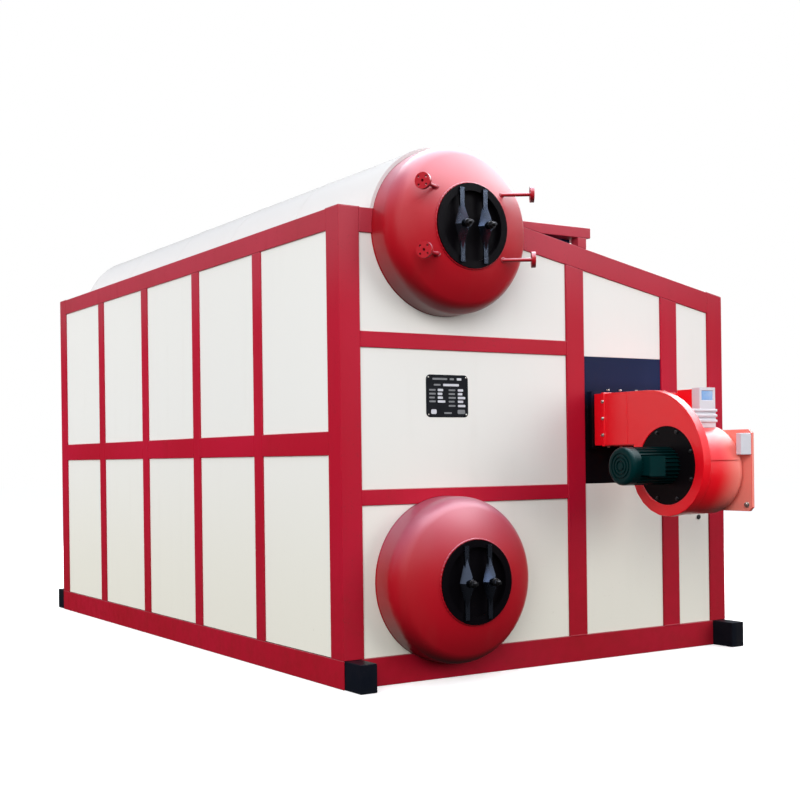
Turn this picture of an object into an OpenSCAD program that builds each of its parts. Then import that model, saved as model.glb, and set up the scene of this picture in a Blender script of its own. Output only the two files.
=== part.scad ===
// Packaged twin-drum steam boiler: a framed casing on skids, two drums and a front burner.
// X runs to the right as seen from the front, Y runs from front to rear and Z is up.
// The origin is on the ground in the middle of the casing's footprint.

/* [Casing] */
// Length over the end walls
casing_l = 5110; // [4200:10:6000]
// Height of the flat left part of the roof
roof_h = 2800; // [2400:5:3300]
// Fall of the roof from its ridge to the right eave
eave_fall_h = 360; // [300:5:420]
// Distance of the ridge from the upper drum's side
ridge_side = 57; // [48:1:68]
// Height of the base frame
base_h = 168; // [140:2:196]
// Thickness of the frame from the outer face inwards
frame_t = 100; // [90:2:120]
// How far the panels sit behind the frame
panel_recess = 12; // [6:1:20]
// Thickness of an insulated panel
panel_t = 70; // [50:2:80]
// Thickness of the roof sheets with their insulation
roof_t = 60; // [40:2:80]

/* [End walls] */
// Width of a corner post on the end wall
corner_w = 140; // [120:2:160]
// Width of the bay that holds the drums
drum_bay_w = 1553; // [1340:1:1840]
// Width of the bay that holds the burner
burner_bay_w = 685; // [570:1:810]
// Width of the bay right of the burner
side_bay_w = 298; // [240:1:350]
// Width of the posts between the bays
post_w = 147; // [130:1:160]
// Height of the top beams
top_beam_h = 145; // [120:1:160]
// How far the lower drum reaches up into the lower cross beam
low_beam_lap = 42; // [34:1:50]
// Height of the lower cross beam
low_beam_h = 92; // [80:1:110]
// Gap between the upper cross beam and the upper drum
high_beam_gap = 110; // [90:1:130]
// Height of the upper cross beam
high_beam_h = 94; // [80:1:110]

/* [Side walls] */
// Number of bays along a side
side_bays = 5; // [4:1:7]
// Width of a corner post on the side wall
corner_l = 150; // [130:2:170]
// Width of the posts between the bays
side_post_w = 115; // [90:1:130]
// Height of the middle beam
mid_beam_h = 140; // [110:2:160]
// Underside of the middle beam as a share of the wall's height
mid_beam_share = 0.484; // [0.44:0.004:0.52]
// Height of the top beam
side_top_h = 127; // [110:1:140]

/* [Base] */
// Width of a skid rail
rail_w = 112; // [90:2:130]
// How far a skid rail sticks out past the end walls
rail_out = 176; // [120:2:220]
// Thickness of the side skirts outside the rails
skirt_t = 8; // [5:1:12]
// Width of a base cross beam
cross_beam_w = 120; // [90:5:160]
// Number of base cross beams
cross_beams = 3; // [3:2:5]
// Thickness of the floor plate
floor_t = 30; // [20:1:36]

/* [Drums] */
// Outside diameter of both drums
drum_d = 1000; // [860:2:1120]
// Wall thickness of the drums
drum_wall = 20; // [14:1:26]
// Distance of the drums' sides from the left corner post
drum_side = 88; // [74:1:104]
// Depth of the upper drum's axis below the roof
upper_sink = 111; // [92:1:130]
// Height of the lower drum's underside above the ground
lower_under = 102; // [88:1:116]
// Straight length in front of the front wall
drum_out = 115; // [90:1:140]
// Where the rear heads start to curve, ahead of the rear wall's face
drum_rear_in = 50; // [30:1:70]
// Straight length of a rear head
rear_skirt = 40; // [30:1:60]
// Thickness of the lagging on the upper drum
lagging_t = 20; // [12:1:24]
// Where the lagging starts, behind the front wall's face
lagging_start = 5; // [0:1:40]

/* [Manholes] */
// Outside diameter of a manhole ring
manhole_d = 500; // [430:2:540]
// Width of the ring around the opening
ring_w = 44; // [36:1:52]
// Depth of the ring
ring_t = 60; // [50:1:70]
// How far the ring stands out from the head at its rim
ring_proud = 14; // [8:1:20]
// Thickness of the cover inside the ring
cover_t = 24; // [18:1:30]
// Distance between the two yokes
yoke_pitch = 166; // [150:2:176]
// Width of a yoke at its middle
yoke_w = 90; // [76:2:104]
// Length of a yoke's raised middle
yoke_l = 330; // [300:2:350]
// How far a yoke stands out at its middle
yoke_rise = 64; // [52:1:80]
// Diameter of the yoke's boss under the nut
yoke_boss_d = 52; // [50:1:60]
// Width of a yoke's arm
yoke_arm_w = 30; // [24:1:40]
// Thickness of a yoke's arm
yoke_arm = 12; // [8:1:16]
// Distance of a yoke's ends from the ring's outer edge
yoke_edge = 12; // [8:1:16]

/* [Level nozzles] */
// Sideways distance of a nozzle's root from the drum axis
level_x = 238; // [222:1:256]
// Height of the upper pair above the drum axis
level_up = 210; // [192:1:228]
// Depth of the lower pair below the drum axis
level_low_h = 181; // [168:1:198]
// Splay of the nozzles away from the drum axis in degrees
level_splay = 57; // [50:1:62]
// Outside diameter of the nozzle pipe
level_pipe_d = 22; // [18:1:26]
// Wall thickness of the nozzle pipe
level_wall = 3; // [2:0.5:4]
// Length from the root to the flange face
level_l = 193; // [168:1:220]
// Outside diameter of the nozzle flange
level_flange_d = 95; // [80:1:110]
// Thickness of the nozzle flange
level_flange_t = 24; // [18:1:28]
// Distance of the bolt holes' centres from the flange's edge
level_bolt_edge = 15; // [12:1:17]
// Diameter of the bolt holes
level_bolt_d = 14; // [11:1:16]

/* [Flue outlet] */
// Distance of the flue from the upper drum's side
flue_side = 82; // [72:1:96]
// Length over the flue's legs
flue_l = 800; // [700:10:1000]
// How far the right leg reaches past the post below it
flue_over = 30; // [10:1:40]
// Overhang of the flange past the legs
flange_over = 36; // [20:1:44]
// Height of the flange's edge
flange_h = 67; // [60:1:80]
// Height of the flange's face above the flat roof
flange_up = 25; // [15:1:35]
// Width of a leg
flue_leg_w = 71; // [60:1:80]
// Thickness of the plates of the duct through the roof
neck_t = 12; // [8:1:16]

/* [Burner] */
// Gap between the burner's neck and the posts beside it
neck_side = 52.5; // [44:0.5:62]
// Height of the burner's neck and of the duct from the fan
neck_h = 336; // [290:2:380]
// Length of the neck in front of the front wall
neck_out = 340; // [290:2:390]
// Distance of the neck's joint from the front wall
joint_out = 118; // [100:2:136]
// Width of the joint's rim
joint_w = 24; // [20:1:28]
// How far the joint's rim stands out
joint_rise = 6; // [4:1:8]
// How far the burner's mounting stands in front of the front wall
boss_out = 30; // [24:1:36]
// How far the burner's mounting stands past the neck
boss_over = 20; // [16:1:24]
// Wall thickness of the burner's castings
cast_t = 8; // [6:1:10]
// Diameter of the flame opening in the burner plate
flame_d = 260; // [220:2:300]
// Width of the fan scroll
volute_w = 62; // [54:1:74]
// Drop of the fan axis below the burner's axis
fan_drop = 300; // [260:1:340]
// Gap between the neck and the largest piece in front of it
fan_clear = 30; // [24:1:36]
// Radius of the scroll below its axis
volute_r = 312; // [280:1:350]
// Width of the scroll's face around the motor plate
disc_rim = 72; // [60:1:86]
// Thickness of the motor plate
disc_t = 10; // [8:1:12]
// Depth of the motor plate behind the scroll's face
disc_recess = 6; // [4:1:8]
// Width of the ledge the motor plate sits on
disc_ledge = 20; // [15:1:25]
// Diameter of the motor
motor_d = 230; // [196:2:264]
// Length of the motor with its fan cover
motor_l = 380; // [330:2:440]
// Length of the motor's fan cover
motor_cap_l = 64; // [52:1:76]
// Round of the fan cover's edge
cap_round = 24; // [16:1:32]
// Number of air rings in the fan cover's end
cap_rings = 3; // [2:1:4]
// Depth of the air rings
cap_ring_in = 8; // [5:1:12]
// Number of cooling fins around the motor
motor_fins = 28; // [20:1:32]
// Thickness of a cooling fin
fin_t = 5; // [4:0.5:6]
// Distance of the terminal box from the motor plate
terminal_out = 190; // [160:2:196]
// Edge of the motor's terminal box
terminal_w = 110; // [90:2:124]
// How far the terminal box stands out from the motor
terminal_h = 52; // [42:1:62]
// Thickness of the terminal box's lid
lid_t = 10; // [8:1:12]
// How far the lid stands past the terminal box
lid_over = 5; // [4:1:6]
// Drop of the air inlet drum's axis below the fan axis
inlet_low = 35; // [30:1:40]
// Distance of the air inlet drum from the scroll's lower edge
inlet_rim = 8; // [6:1:10]
// Length of the air inlet drum
inlet_l = 345; // [300:5:390]
// Radius of the air inlet drum's rounded end
shoulder_r = 60; // [50:1:72]
// How far the drum's raised cover stands out
hump_rise = 12; // [10:1:15]
// Height of the raised cover's edge above the fan axis
hump_up = 30; // [25:1:36]
// Distance of the raised cover from the scroll
hump_in = 30; // [25:1:36]
// Height of the plate at the drum's end
end_plate_h = 500; // [460:5:560]
// Thickness of the plate at the drum's end
end_plate_t = 22; // [18:1:26]
// Cut on the corners of the plate at the drum's end
end_plate_cut = 24; // [16:1:32]
// Number of slots for the air in the plate at the drum's end
inlet_slots = 7; // [5:2:9]
// Width of the air damper on the drum
damper_w = 216; // [180:2:240]
// Length of the air damper on the drum
damper_l = 230; // [190:2:270]
// Height of the air damper above the drum's cover
damper_h = 97; // [80:1:115]
// Number of plates that stand out of the air damper
damper_blades = 3; // [2:1:5]
// How far the plates stand out of the air damper
blade_over = 14; // [10:1:18]
// Length of the damper's drive
servo_l = 40; // [34:1:48]
// Width of the damper's drive
servo_w = 90; // [76:1:106]
// Height of the damper's drive
servo_h = 131; // [110:1:155]
// Gap between the damper's drive and the drum's cover
servo_gap = 5; // [4:1:6]
// Width of the control box
control_w = 142; // [120:2:168]
// Length of the control box
control_l = 70; // [60:1:84]
// Length of the stand that carries the control box on the neck
stand_l = 130; // [110:2:150]
// How far the stand lies inside the control box's outline
stand_in = 8; // [5:1:12]
// Height of the control box
control_h = 149; // [124:1:176]
// How far the control box stands above the neck
control_up = 26; // [20:1:32]
// Width of the rim around the control box's window
window_rim = 20; // [16:1:24]
// Depth of the control box's window
window_in = 8; // [6:1:10]

/* [Hidden] */
// Sub-part to draw

// Smoothness of round faces
$fn = 96;
// Points on each round stretch of an outline
arc_steps = 14;
// How far cuts run past the faces they open
overrun = 20;
// Gap at round seats
seat_gap = 0.3;
// Gap between the lowest drum face and the floor plate
floor_gap = 12;
// Crown and knuckle radii of a drum head as shares of its diameter
crown_share = 0.9;
knuckle_share = 0.13;
// Top of a yoke's raised middle as a share of its foot
yoke_top_share = 0.25;
// Radius of the motor between its fins as a share of the motor's radius
motor_core_share = 0.86;
// Height of the air slots as a share of their pitch
slot_share = 0.5;
// Height of the control box's window as a share of the box's height
window_share = 0.42;

// Colours
frame_red = "firebrick";
drum_red = "crimson";
burner_red = "red";
panel_cream = "ivory";
lagging_white = "white";
skid_black = "black";
plate_navy = "midnightblue";
motor_green = "darkslategray";
box_grey = "lightsteelblue";

// Drum axes
drum_r = drum_d / 2;
drum_x = corner_w + drum_side + drum_r;
upper_z = roof_h - upper_sink;
lower_z = lower_under + drum_r;

// Levels of the cross beams on the end walls
low_beam_z = lower_z + drum_r - low_beam_lap;
low_beam_top = low_beam_z + low_beam_h;
high_beam_top = upper_z - drum_r - high_beam_gap;
high_beam_z = high_beam_top - high_beam_h;

// End wall stations along X
bay1_x0 = corner_w;
bay1_x1 = bay1_x0 + drum_bay_w;
bay2_x0 = bay1_x1 + post_w;
bay2_x1 = bay2_x0 + burner_bay_w;
bay3_x0 = bay2_x1 + post_w;
bay3_x1 = bay3_x0 + side_bay_w;
casing_w = bay3_x1 + corner_w;

// Roof slope
eave_h = roof_h - eave_fall_h;
ridge_x = drum_x + drum_r + ridge_side;
fall = eave_fall_h / (casing_w - ridge_x);

// Side wall stations along Y
side_l = casing_l - 2 * corner_l;
side_bay_l = (side_l - (side_bays - 1) * side_post_w) / side_bays;
side_pitch = side_bay_l + side_post_w;
left_mid_z = mid_beam_share * roof_h;
right_mid_z = mid_beam_share * eave_h;

// Stations of the flue opening
flue_x0 = drum_x + drum_r + flue_side;
flue_x1 = bay2_x0 + flue_over;
flue_top = roof_h + flange_up;
flange_z = flue_top - flange_h;
flange_meet_x = ridge_x + (roof_h - flange_z) / fall;
open_x0 = flue_x0 + flue_leg_w;
open_x1 = flue_x1 - flue_leg_w;
open_y0 = frame_t + neck_t;
open_y1 = flue_l - open_y0;
neck_ring_x0 = open_x0 - neck_t;
neck_ring_x1 = open_x1 + neck_t;
neck_ring_y1 = open_y1 + neck_t;

// Base
rail_x1 = skirt_t + rail_w;
floor_top = lower_under - floor_gap;
cross_beam_h = floor_top - floor_t;

// Drums
hole_r = drum_r + seat_gap;
lagging_r = drum_r + seat_gap + lagging_t;
lagging_z = roof_h - roof_t;
roof_side = lagging_r + seat_gap;
shell_y1 = casing_l - drum_rear_in - rear_skirt;
crown_r = crown_share * drum_d;
knuckle_r = knuckle_share * drum_d;
knuckle_x = drum_r - knuckle_r;
crown_drop = sqrt(pow(crown_r - knuckle_r, 2) - pow(knuckle_x, 2));
blend_angle = atan2(knuckle_x, crown_drop);
head_h = crown_r - crown_drop;

// Manholes, measured along the drum axis from the line where the head starts to curve
manhole_r = manhole_d / 2;
ring_face = sqrt(pow(crown_r, 2) - pow(manhole_r, 2)) - crown_drop + ring_proud;
ring_back = ring_face - ring_t;
opening_r = manhole_r - ring_w;
lip_r = manhole_r - ring_w / 2;
plug_r = opening_r - seat_gap;
plug_face = ring_back + cover_t;
yoke_side = (yoke_pitch + yoke_arm_w) / 2;
yoke_span = sqrt(pow(manhole_r - yoke_edge, 2) - pow(yoke_side, 2));

// Level nozzles
level_bore_d = level_pipe_d - 2 * level_wall;
level_pcd = level_flange_d - 2 * level_bolt_edge;

// Burner
burner_x = (bay2_x0 + bay2_x1) / 2;
burner_z = (low_beam_top + high_beam_z) / 2;
neck_x0 = bay2_x0 + neck_side;
neck_x1 = bay2_x1 - neck_side;
neck_z0 = burner_z - neck_h / 2;
neck_z1 = burner_z + neck_h / 2;
control_z1 = neck_z1 + control_up;
control_z0 = control_z1 - control_h;
fan_z = burner_z - fan_drop;
inlet_z = fan_z - inlet_low;
inlet_r = volute_r - inlet_low - inlet_rim;
hump_r = inlet_r + hump_rise;
eye_r = inlet_r - shoulder_r;
servo_z = inlet_z + end_plate_h / 2 - end_plate_cut - servo_h;
servo_side = sqrt(pow(hump_r, 2) - pow(servo_z - inlet_z, 2)) + servo_gap;
end_plate_l = 2 * (servo_side + servo_l);
fan_y = -neck_out - fan_clear - max(volute_r, end_plate_l / 2);
volute_x1 = neck_x0 + volute_w;
volute_top_r = neck_z1 - fan_z;
volute_top_y = fan_y - volute_r + volute_top_r;
disc_r = volute_r - disc_rim;
disc_x = neck_x0 + disc_recess + disc_t;
motor_r = motor_d / 2;
motor_x1 = neck_x0 + disc_recess;
inlet_x1 = volute_x1 + inlet_l;
blade_t = damper_h / (2 * damper_blades);
slot_pitch = 2 * eye_r / inlet_slots;
slot_h = slot_share * slot_pitch;

// Height of the roof line above a station on the end wall
function roof_z(x) = x < ridge_x ? roof_h : roof_h - fall * (x - ridge_x);

// Points on an arc about a centre, from one angle to another
function arc(c, r, a0, a1) =
    [for (i = [0 : arc_steps]) let (a = a0 + (a1 - a0) * i / arc_steps) c + r * [cos(a), sin(a)]];

// Moves the casing's front left corner so that the origin is under its middle
module placed() {
    translate([-casing_w / 2, -casing_l / 2, 0])
        children();
}

// Box between two corners
module block(p, q) {
    translate(p)
        cube(q - p);
}

// Outline in X and Z, drawn out along Y
module along_y(y0, y1) {
    translate([0, y1, 0])
        rotate([90, 0, 0])
            linear_extrude(y1 - y0)
                children();
}

// Outline in Y and Z, drawn out along X
module along_x(x0, x1) {
    translate([x0, 0, 0])
        rotate([90, 0, 90])
            linear_extrude(x1 - x0)
                children();
}

// Band on an end wall from a level up to a depth below the roof line
module roof_band(x0, x1, z0, drop) {
    mid = x0 < ridge_x && ridge_x < x1 ? [[ridge_x, roof_h - drop]] : [];
    polygon(concat(
        [[x0, z0], [x1, z0], [x1, roof_z(x1) - drop]],
        mid,
        [[x0, roof_z(x0) - drop]]
    ));
}

// Strip of even depth under the roof line
module roof_strip(x0, x1, depth) {
    inner = x0 < ridge_x && ridge_x < x1;
    polygon(concat(
        [[x0, roof_z(x0) - depth]],
        inner ? [[ridge_x, roof_h - depth]] : [],
        [[x1, roof_z(x1) - depth], [x1, roof_z(x1)]],
        inner ? [[ridge_x, roof_h]] : [],
        [[x0, roof_z(x0)]]
    ));
}

// Round hole for a drum through an end wall
module drum_hole(z, y0, y1) {
    translate([drum_x, 0, z])
        along_y(y0 - overrun, y1 + overrun)
            circle(hole_r);
}

// Puts the children at one end wall's depth: the front wall or the rear wall
module end_wall(rear) {
    translate([0, rear ? casing_l - frame_t : 0, 0])
        children();
}

// Base: rails, beams and floor
module skid_rails() {
    color(skid_black)
        placed()
            for (x = [skirt_t, casing_w - rail_x1])
                block([x, -rail_out, 0], [x + rail_w, casing_l + rail_out, base_h]);
}

module base_end_beams() {
    color(frame_red)
        placed()
            for (y = [0, casing_l - frame_t])
                difference() {
                    block([rail_x1, y, 0], [casing_w - rail_x1, y + frame_t, base_h]);
                    drum_hole(lower_z, y, y + frame_t);
                }
}

module base_side_skirts() {
    color(frame_red)
        placed()
            for (x = [0, casing_w - skirt_t])
                block([x, 0, 0], [x + skirt_t, casing_l, base_h]);
}

module base_cross_beams() {
    color(frame_red)
        placed()
            for (i = [1 : cross_beams]) {
                y = casing_l * i / (cross_beams + 1) - cross_beam_w / 2;
                block([rail_x1, y, 0], [casing_w - rail_x1, y + cross_beam_w, cross_beam_h]);
            }
}

module floor_plate() {
    color(frame_red)
        placed()
            block([rail_x1, frame_t, cross_beam_h], [casing_w - rail_x1, casing_l - frame_t, floor_top]);
}

// Frame: posts and beams
module corner_posts() {
    color(frame_red)
        placed()
            for (y = [0, casing_l - corner_l])
                for (x = [0, bay3_x1])
                    along_y(y, y + corner_l)
                        roof_band(x, x + corner_w, base_h, 0);
}

module end_posts(rear) {
    end_wall(rear)
        for (x = [bay1_x1, bay2_x1])
            along_y(0, frame_t)
                roof_band(x, x + post_w, base_h, top_beam_h);
}

module front_posts() {
    color(frame_red)
        placed()
            end_posts(false);
}

module rear_posts() {
    color(frame_red)
        placed()
            end_posts(true);
}

module cross_beam_pair(rear) {
    end_wall(rear) {
        block([bay1_x0, 0, high_beam_z], [bay1_x1, frame_t, high_beam_top]);
        difference() {
            block([bay1_x0, 0, low_beam_z], [bay1_x1, frame_t, low_beam_top]);
            drum_hole(lower_z, 0, frame_t);
        }
    }
}

module front_cross_beams() {
    color(frame_red)
        placed()
            cross_beam_pair(false);
}

module rear_cross_beams() {
    color(frame_red)
        placed()
            cross_beam_pair(true);
}

module end_top_beam(rear) {
    end_wall(rear)
        difference() {
            along_y(0, frame_t)
                roof_strip(bay1_x0, bay3_x1, top_beam_h);
            drum_hole(upper_z, 0, frame_t);
        }
}

module front_top_beam() {
    color(frame_red)
        placed()
            end_top_beam(false);
}

module rear_top_beam() {
    color(frame_red)
        placed()
            end_top_beam(true);
}

module side_posts() {
    color(frame_red)
        placed()
            for (i = [1 : side_bays - 1]) {
                y = corner_l + i * side_pitch - side_post_w;
                block([0, y, base_h], [frame_t, y + side_post_w, roof_h - side_top_h]);
                block([casing_w - frame_t, y, base_h], [casing_w, y + side_post_w, eave_h - side_top_h]);
            }
}

module side_mid_beams() {
    color(frame_red)
        placed()
            for (i = [0 : side_bays - 1]) {
                y = corner_l + i * side_pitch;
                block([0, y, left_mid_z], [frame_t, y + side_bay_l, left_mid_z + mid_beam_h]);
                block(
                    [casing_w - frame_t, y, right_mid_z],
                    [casing_w, y + side_bay_l, right_mid_z + mid_beam_h]
                );
            }
}

module side_top_beams() {
    color(frame_red)
        placed()
            along_y(corner_l, casing_l - corner_l) {
                roof_band(0, frame_t, roof_h - side_top_h, 0);
                roof_band(casing_w - frame_t, casing_w, eave_h - side_top_h, 0);
            }
}

// Panels of the front wall
module front_upper_panel() {
    color(panel_cream)
        placed()
            difference() {
                along_y(panel_recess, panel_recess + panel_t)
                    roof_band(bay1_x0, bay1_x1, high_beam_top, top_beam_h);
                drum_hole(upper_z, panel_recess, panel_recess + panel_t);
            }
}

module front_middle_panel() {
    color(panel_cream)
        placed()
            block([bay1_x0, panel_recess, low_beam_top], [bay1_x1, panel_recess + panel_t, high_beam_z]);
}

module front_lower_panel() {
    color(panel_cream)
        placed()
            difference() {
                block([bay1_x0, panel_recess, base_h], [bay1_x1, panel_recess + panel_t, low_beam_z]);
                drum_hole(lower_z, panel_recess, panel_recess + panel_t);
            }
}

module burner_bay_panels() {
    color(panel_cream)
        placed()
            along_y(panel_recess, panel_recess + panel_t) {
                roof_band(bay2_x0, bay2_x1, high_beam_z, top_beam_h);
                translate([bay2_x0, base_h])
                    square([burner_bay_w, low_beam_top - base_h]);
            }
}

module front_right_panel() {
    color(panel_cream)
        placed()
            along_y(panel_recess, panel_recess + panel_t)
                roof_band(bay3_x0, bay3_x1, base_h, top_beam_h);
}

// Two rows of panels along one side wall
module side_panels(x, mid_z, top_z) {
    for (i = [0 : side_bays - 1]) {
        y = corner_l + i * side_pitch;
        block([x, y, base_h], [x + panel_t, y + side_bay_l, mid_z]);
        block([x, y, mid_z + mid_beam_h], [x + panel_t, y + side_bay_l, top_z]);
    }
}

module left_panels() {
    color(panel_cream)
        placed()
            side_panels(panel_recess, left_mid_z, roof_h - side_top_h);
}

module right_panels() {
    color(panel_cream)
        placed()
            side_panels(casing_w - panel_recess - panel_t, right_mid_z, eave_h - side_top_h);
}

module rear_panels() {
    y1 = casing_l - panel_recess;
    color(panel_cream)
        placed()
            difference() {
                along_y(y1 - panel_t, y1) {
                    roof_band(bay1_x0, bay1_x1, high_beam_top, top_beam_h);
                    translate([bay1_x0, low_beam_top])
                        square([drum_bay_w, high_beam_z - low_beam_top]);
                    translate([bay1_x0, base_h])
                        square([drum_bay_w, low_beam_z - base_h]);
                    roof_band(bay2_x0, bay2_x1, base_h, top_beam_h);
                    roof_band(bay3_x0, bay3_x1, base_h, top_beam_h);
                }
                drum_hole(upper_z, y1 - panel_t, y1);
                drum_hole(lower_z, y1 - panel_t, y1);
            }
}

// Roof
module roof_left_strip() {
    color(panel_cream)
        placed()
            block([frame_t, frame_t, lagging_z], [drum_x - roof_side, casing_l - frame_t, roof_h]);
}

module roof_slope_front() {
    color(panel_cream)
        placed()
            along_y(frame_t, neck_ring_y1) {
                roof_strip(drum_x + roof_side, neck_ring_x0, roof_t);
                roof_strip(neck_ring_x1, casing_w - frame_t, roof_t);
            }
}

module roof_slope_rear() {
    color(panel_cream)
        placed()
            along_y(neck_ring_y1, casing_l - frame_t)
                roof_strip(drum_x + roof_side, casing_w - frame_t, roof_t);
}

// Drums
module drum_shell(z) {
    translate([drum_x, 0, z])
        along_y(0, shell_y1)
            difference() {
                circle(drum_r);
                circle(drum_r - drum_wall);
            }
}

// One face of a dished head from the opening's edge to the end of its straight part
function head_curve(inset, open_r, skirt) = concat(
    arc([0, -crown_drop], crown_r - inset, 90 - asin(open_r / (crown_r - inset)), 90 - blend_angle),
    arc([knuckle_x, 0], knuckle_r - inset, 90 - blend_angle, 0),
    [[drum_r - inset, -skirt]]
);

function reversed(list) = [for (i = [len(list) - 1 : -1 : 0]) list[i]];

// Dished head about the drum axis, opening towards -Z
module dished_head(open_r, skirt) {
    rotate_extrude()
        polygon(concat(
            head_curve(0, open_r, skirt),
            reversed(head_curve(drum_wall, open_r, skirt))
        ));
}

// Puts the children on a drum axis with +Z out of the front wall
module on_front_axis(z) {
    translate([drum_x, -drum_out, z])
        rotate([90, 0, 0])
            children();
}

module upper_drum_shell() {
    color(drum_red)
        placed()
            drum_shell(upper_z);
}

module lower_drum_shell() {
    color(drum_red)
        placed()
            drum_shell(lower_z);
}

module upper_front_head() {
    color(drum_red)
        placed()
            difference() {
                on_front_axis(upper_z)
                    dished_head(manhole_r + seat_gap, drum_out);
                level_set()
                    translate([0, 0, -level_l])
                        cylinder(d = level_pipe_d + 2 * seat_gap, h = 2 * level_l);
            }
}

module lower_front_head() {
    color(drum_red)
        placed()
            on_front_axis(lower_z)
                dished_head(manhole_r + seat_gap, drum_out);
}

module rear_heads() {
    color(drum_red)
        placed()
            for (z = [upper_z, lower_z])
                translate([drum_x, casing_l - drum_rear_in, z])
                    rotate([-90, 0, 0])
                        dished_head(0, rear_skirt);
}

module upper_lagging() {
    color(lagging_white)
        placed()
            difference() {
                translate([drum_x, 0, upper_z])
                    along_y(lagging_start, casing_l - frame_t)
                        difference() {
                            circle(lagging_r);
                            circle(drum_r + seat_gap);
                        }
                block(
                    [drum_x - roof_side, 0, upper_z - 2 * drum_r],
                    [drum_x + roof_side, casing_l, lagging_z]
                );
                block(
                    [drum_x - roof_side, 0, upper_z - 2 * drum_r],
                    [drum_x + roof_side, frame_t, roof_h]
                );
            }
}

// Manholes in both front heads
module manhole_rings() {
    color(skid_black)
        placed()
            for (z = [upper_z, lower_z])
                on_front_axis(z)
                    translate([0, 0, ring_back])
                        difference() {
                            cylinder(r = manhole_r, h = ring_t);
                            translate([0, 0, -overrun])
                                cylinder(r = opening_r, h = ring_t + 2 * overrun);
                        }
}

module manhole_covers() {
    color(skid_black)
        placed()
            for (z = [upper_z, lower_z])
                on_front_axis(z)
                    rotate_extrude()
                        polygon([
                            [0, ring_back - cover_t],
                            [lip_r, ring_back - cover_t],
                            [lip_r, ring_back],
                            [plug_r, ring_back],
                            [plug_r, plug_face],
                            [0, plug_face]
                        ]);
}

// Bridge over a manhole: an arm across the ring, a raised middle with four slopes, and a boss
module yoke() {
    block([-yoke_arm_w / 2, -yoke_span, 0], [yoke_arm_w / 2, yoke_span, yoke_arm]);
    linear_extrude(yoke_rise, scale = yoke_top_share)
        polygon([[-yoke_w / 2, 0], [0, -yoke_l / 2], [yoke_w / 2, 0], [0, yoke_l / 2]]);
    cylinder(d = yoke_boss_d, h = yoke_rise);
}

module manhole_yokes() {
    color(skid_black)
        placed()
            for (z = [upper_z, lower_z])
                for (side = [-1, 1])
                    on_front_axis(z)
                        translate([side * yoke_pitch / 2, 0, ring_face])
                            yoke();
}

// Puts the children at each nozzle's root with +Z along the nozzle
module level_set() {
    for (side = [-1, 1])
        for (dz = [level_up, -level_low_h]) {
            rim = norm([level_x, dz]);
            root = sqrt(pow(crown_r, 2) - pow(rim, 2)) - crown_drop;
            on_front_axis(upper_z)
                translate([side * level_x, dz, root])
                    rotate([0, side * level_splay, 0])
                        children();
        }
}

module level_nozzles() {
    inside = 2 * drum_wall;
    color(drum_red)
        placed()
            level_set()
                difference() {
                    union() {
                        translate([0, 0, -inside])
                            cylinder(d = level_pipe_d, h = inside + level_l);
                        translate([0, 0, level_l - level_flange_t])
                            cylinder(d = level_flange_d, h = level_flange_t);
                    }
                    translate([0, 0, -inside - overrun])
                        cylinder(d = level_bore_d, h = inside + level_l + 2 * overrun);
                    for (i = [0 : 3])
                        rotate([0, 0, 45 + 90 * i])
                            translate([level_pcd / 2, 0, level_l - level_flange_t - overrun])
                                cylinder(d = level_bolt_d, h = level_flange_t + 2 * overrun);
                }
}

// Flue outlet on the roof
module flue_flange() {
    x0 = flue_x0 - flange_over;
    x1 = flue_x1 + flange_over;
    color(frame_red)
        placed()
            difference() {
                along_y(0, flue_l)
                    polygon(concat(
                        [[x0, roof_z(x0)]],
                        x0 < ridge_x ? [[ridge_x, roof_h]] : [],
                        [[flange_meet_x, flange_z], [x1, flange_z], [x1, flue_top], [x0, flue_top]]
                    ));
                block([open_x0, open_y0, base_h], [open_x1, open_y1, flue_top + overrun]);
            }
}

module flue_legs() {
    color(frame_red)
        placed()
            for (y = [0, flue_l - flue_leg_w])
                along_y(y, y + flue_leg_w)
                    polygon([
                        [open_x1, roof_z(open_x1)], [flue_x1, roof_z(flue_x1)],
                        [flue_x1, flange_z], [open_x1, flange_z]
                    ]);
}

// Rectangular duct through the roof, up to the underside of the flange
module flue_neck() {
    over_ridge = neck_ring_x0 < ridge_x;
    color(plate_navy)
        placed()
            difference() {
                along_y(frame_t, neck_ring_y1)
                    polygon(concat(
                        [[neck_ring_x0, roof_z(neck_ring_x0) - roof_t]],
                        over_ridge ? [[ridge_x, roof_h - roof_t]] : [],
                        [[neck_ring_x1, roof_z(neck_ring_x1) - roof_t], [neck_ring_x1, flange_z]],
                        [[flange_meet_x, flange_z]],
                        over_ridge ? [[ridge_x, roof_h]] : [],
                        [[neck_ring_x0, roof_z(neck_ring_x0)]]
                    ));
                block([open_x0, open_y0, base_h], [open_x1, open_y1, flue_top]);
            }
}

// Burner plate with the raised mounting of the burner and the opening for its flame
module burner_plate() {
    color(plate_navy)
        placed()
            difference() {
                union() {
                    block(
                        [bay2_x0, panel_recess, low_beam_top],
                        [bay2_x1, panel_recess + panel_t, high_beam_z]
                    );
                    block(
                        [neck_x0 - boss_over, -boss_out, neck_z0 - boss_over],
                        [neck_x1 + boss_over, panel_recess, neck_z1 + boss_over]
                    );
                }
                translate([burner_x, 0, burner_z])
                    along_y(-boss_out - overrun, panel_recess + panel_t + overrun)
                        circle(d = flame_d);
            }
}

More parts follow.
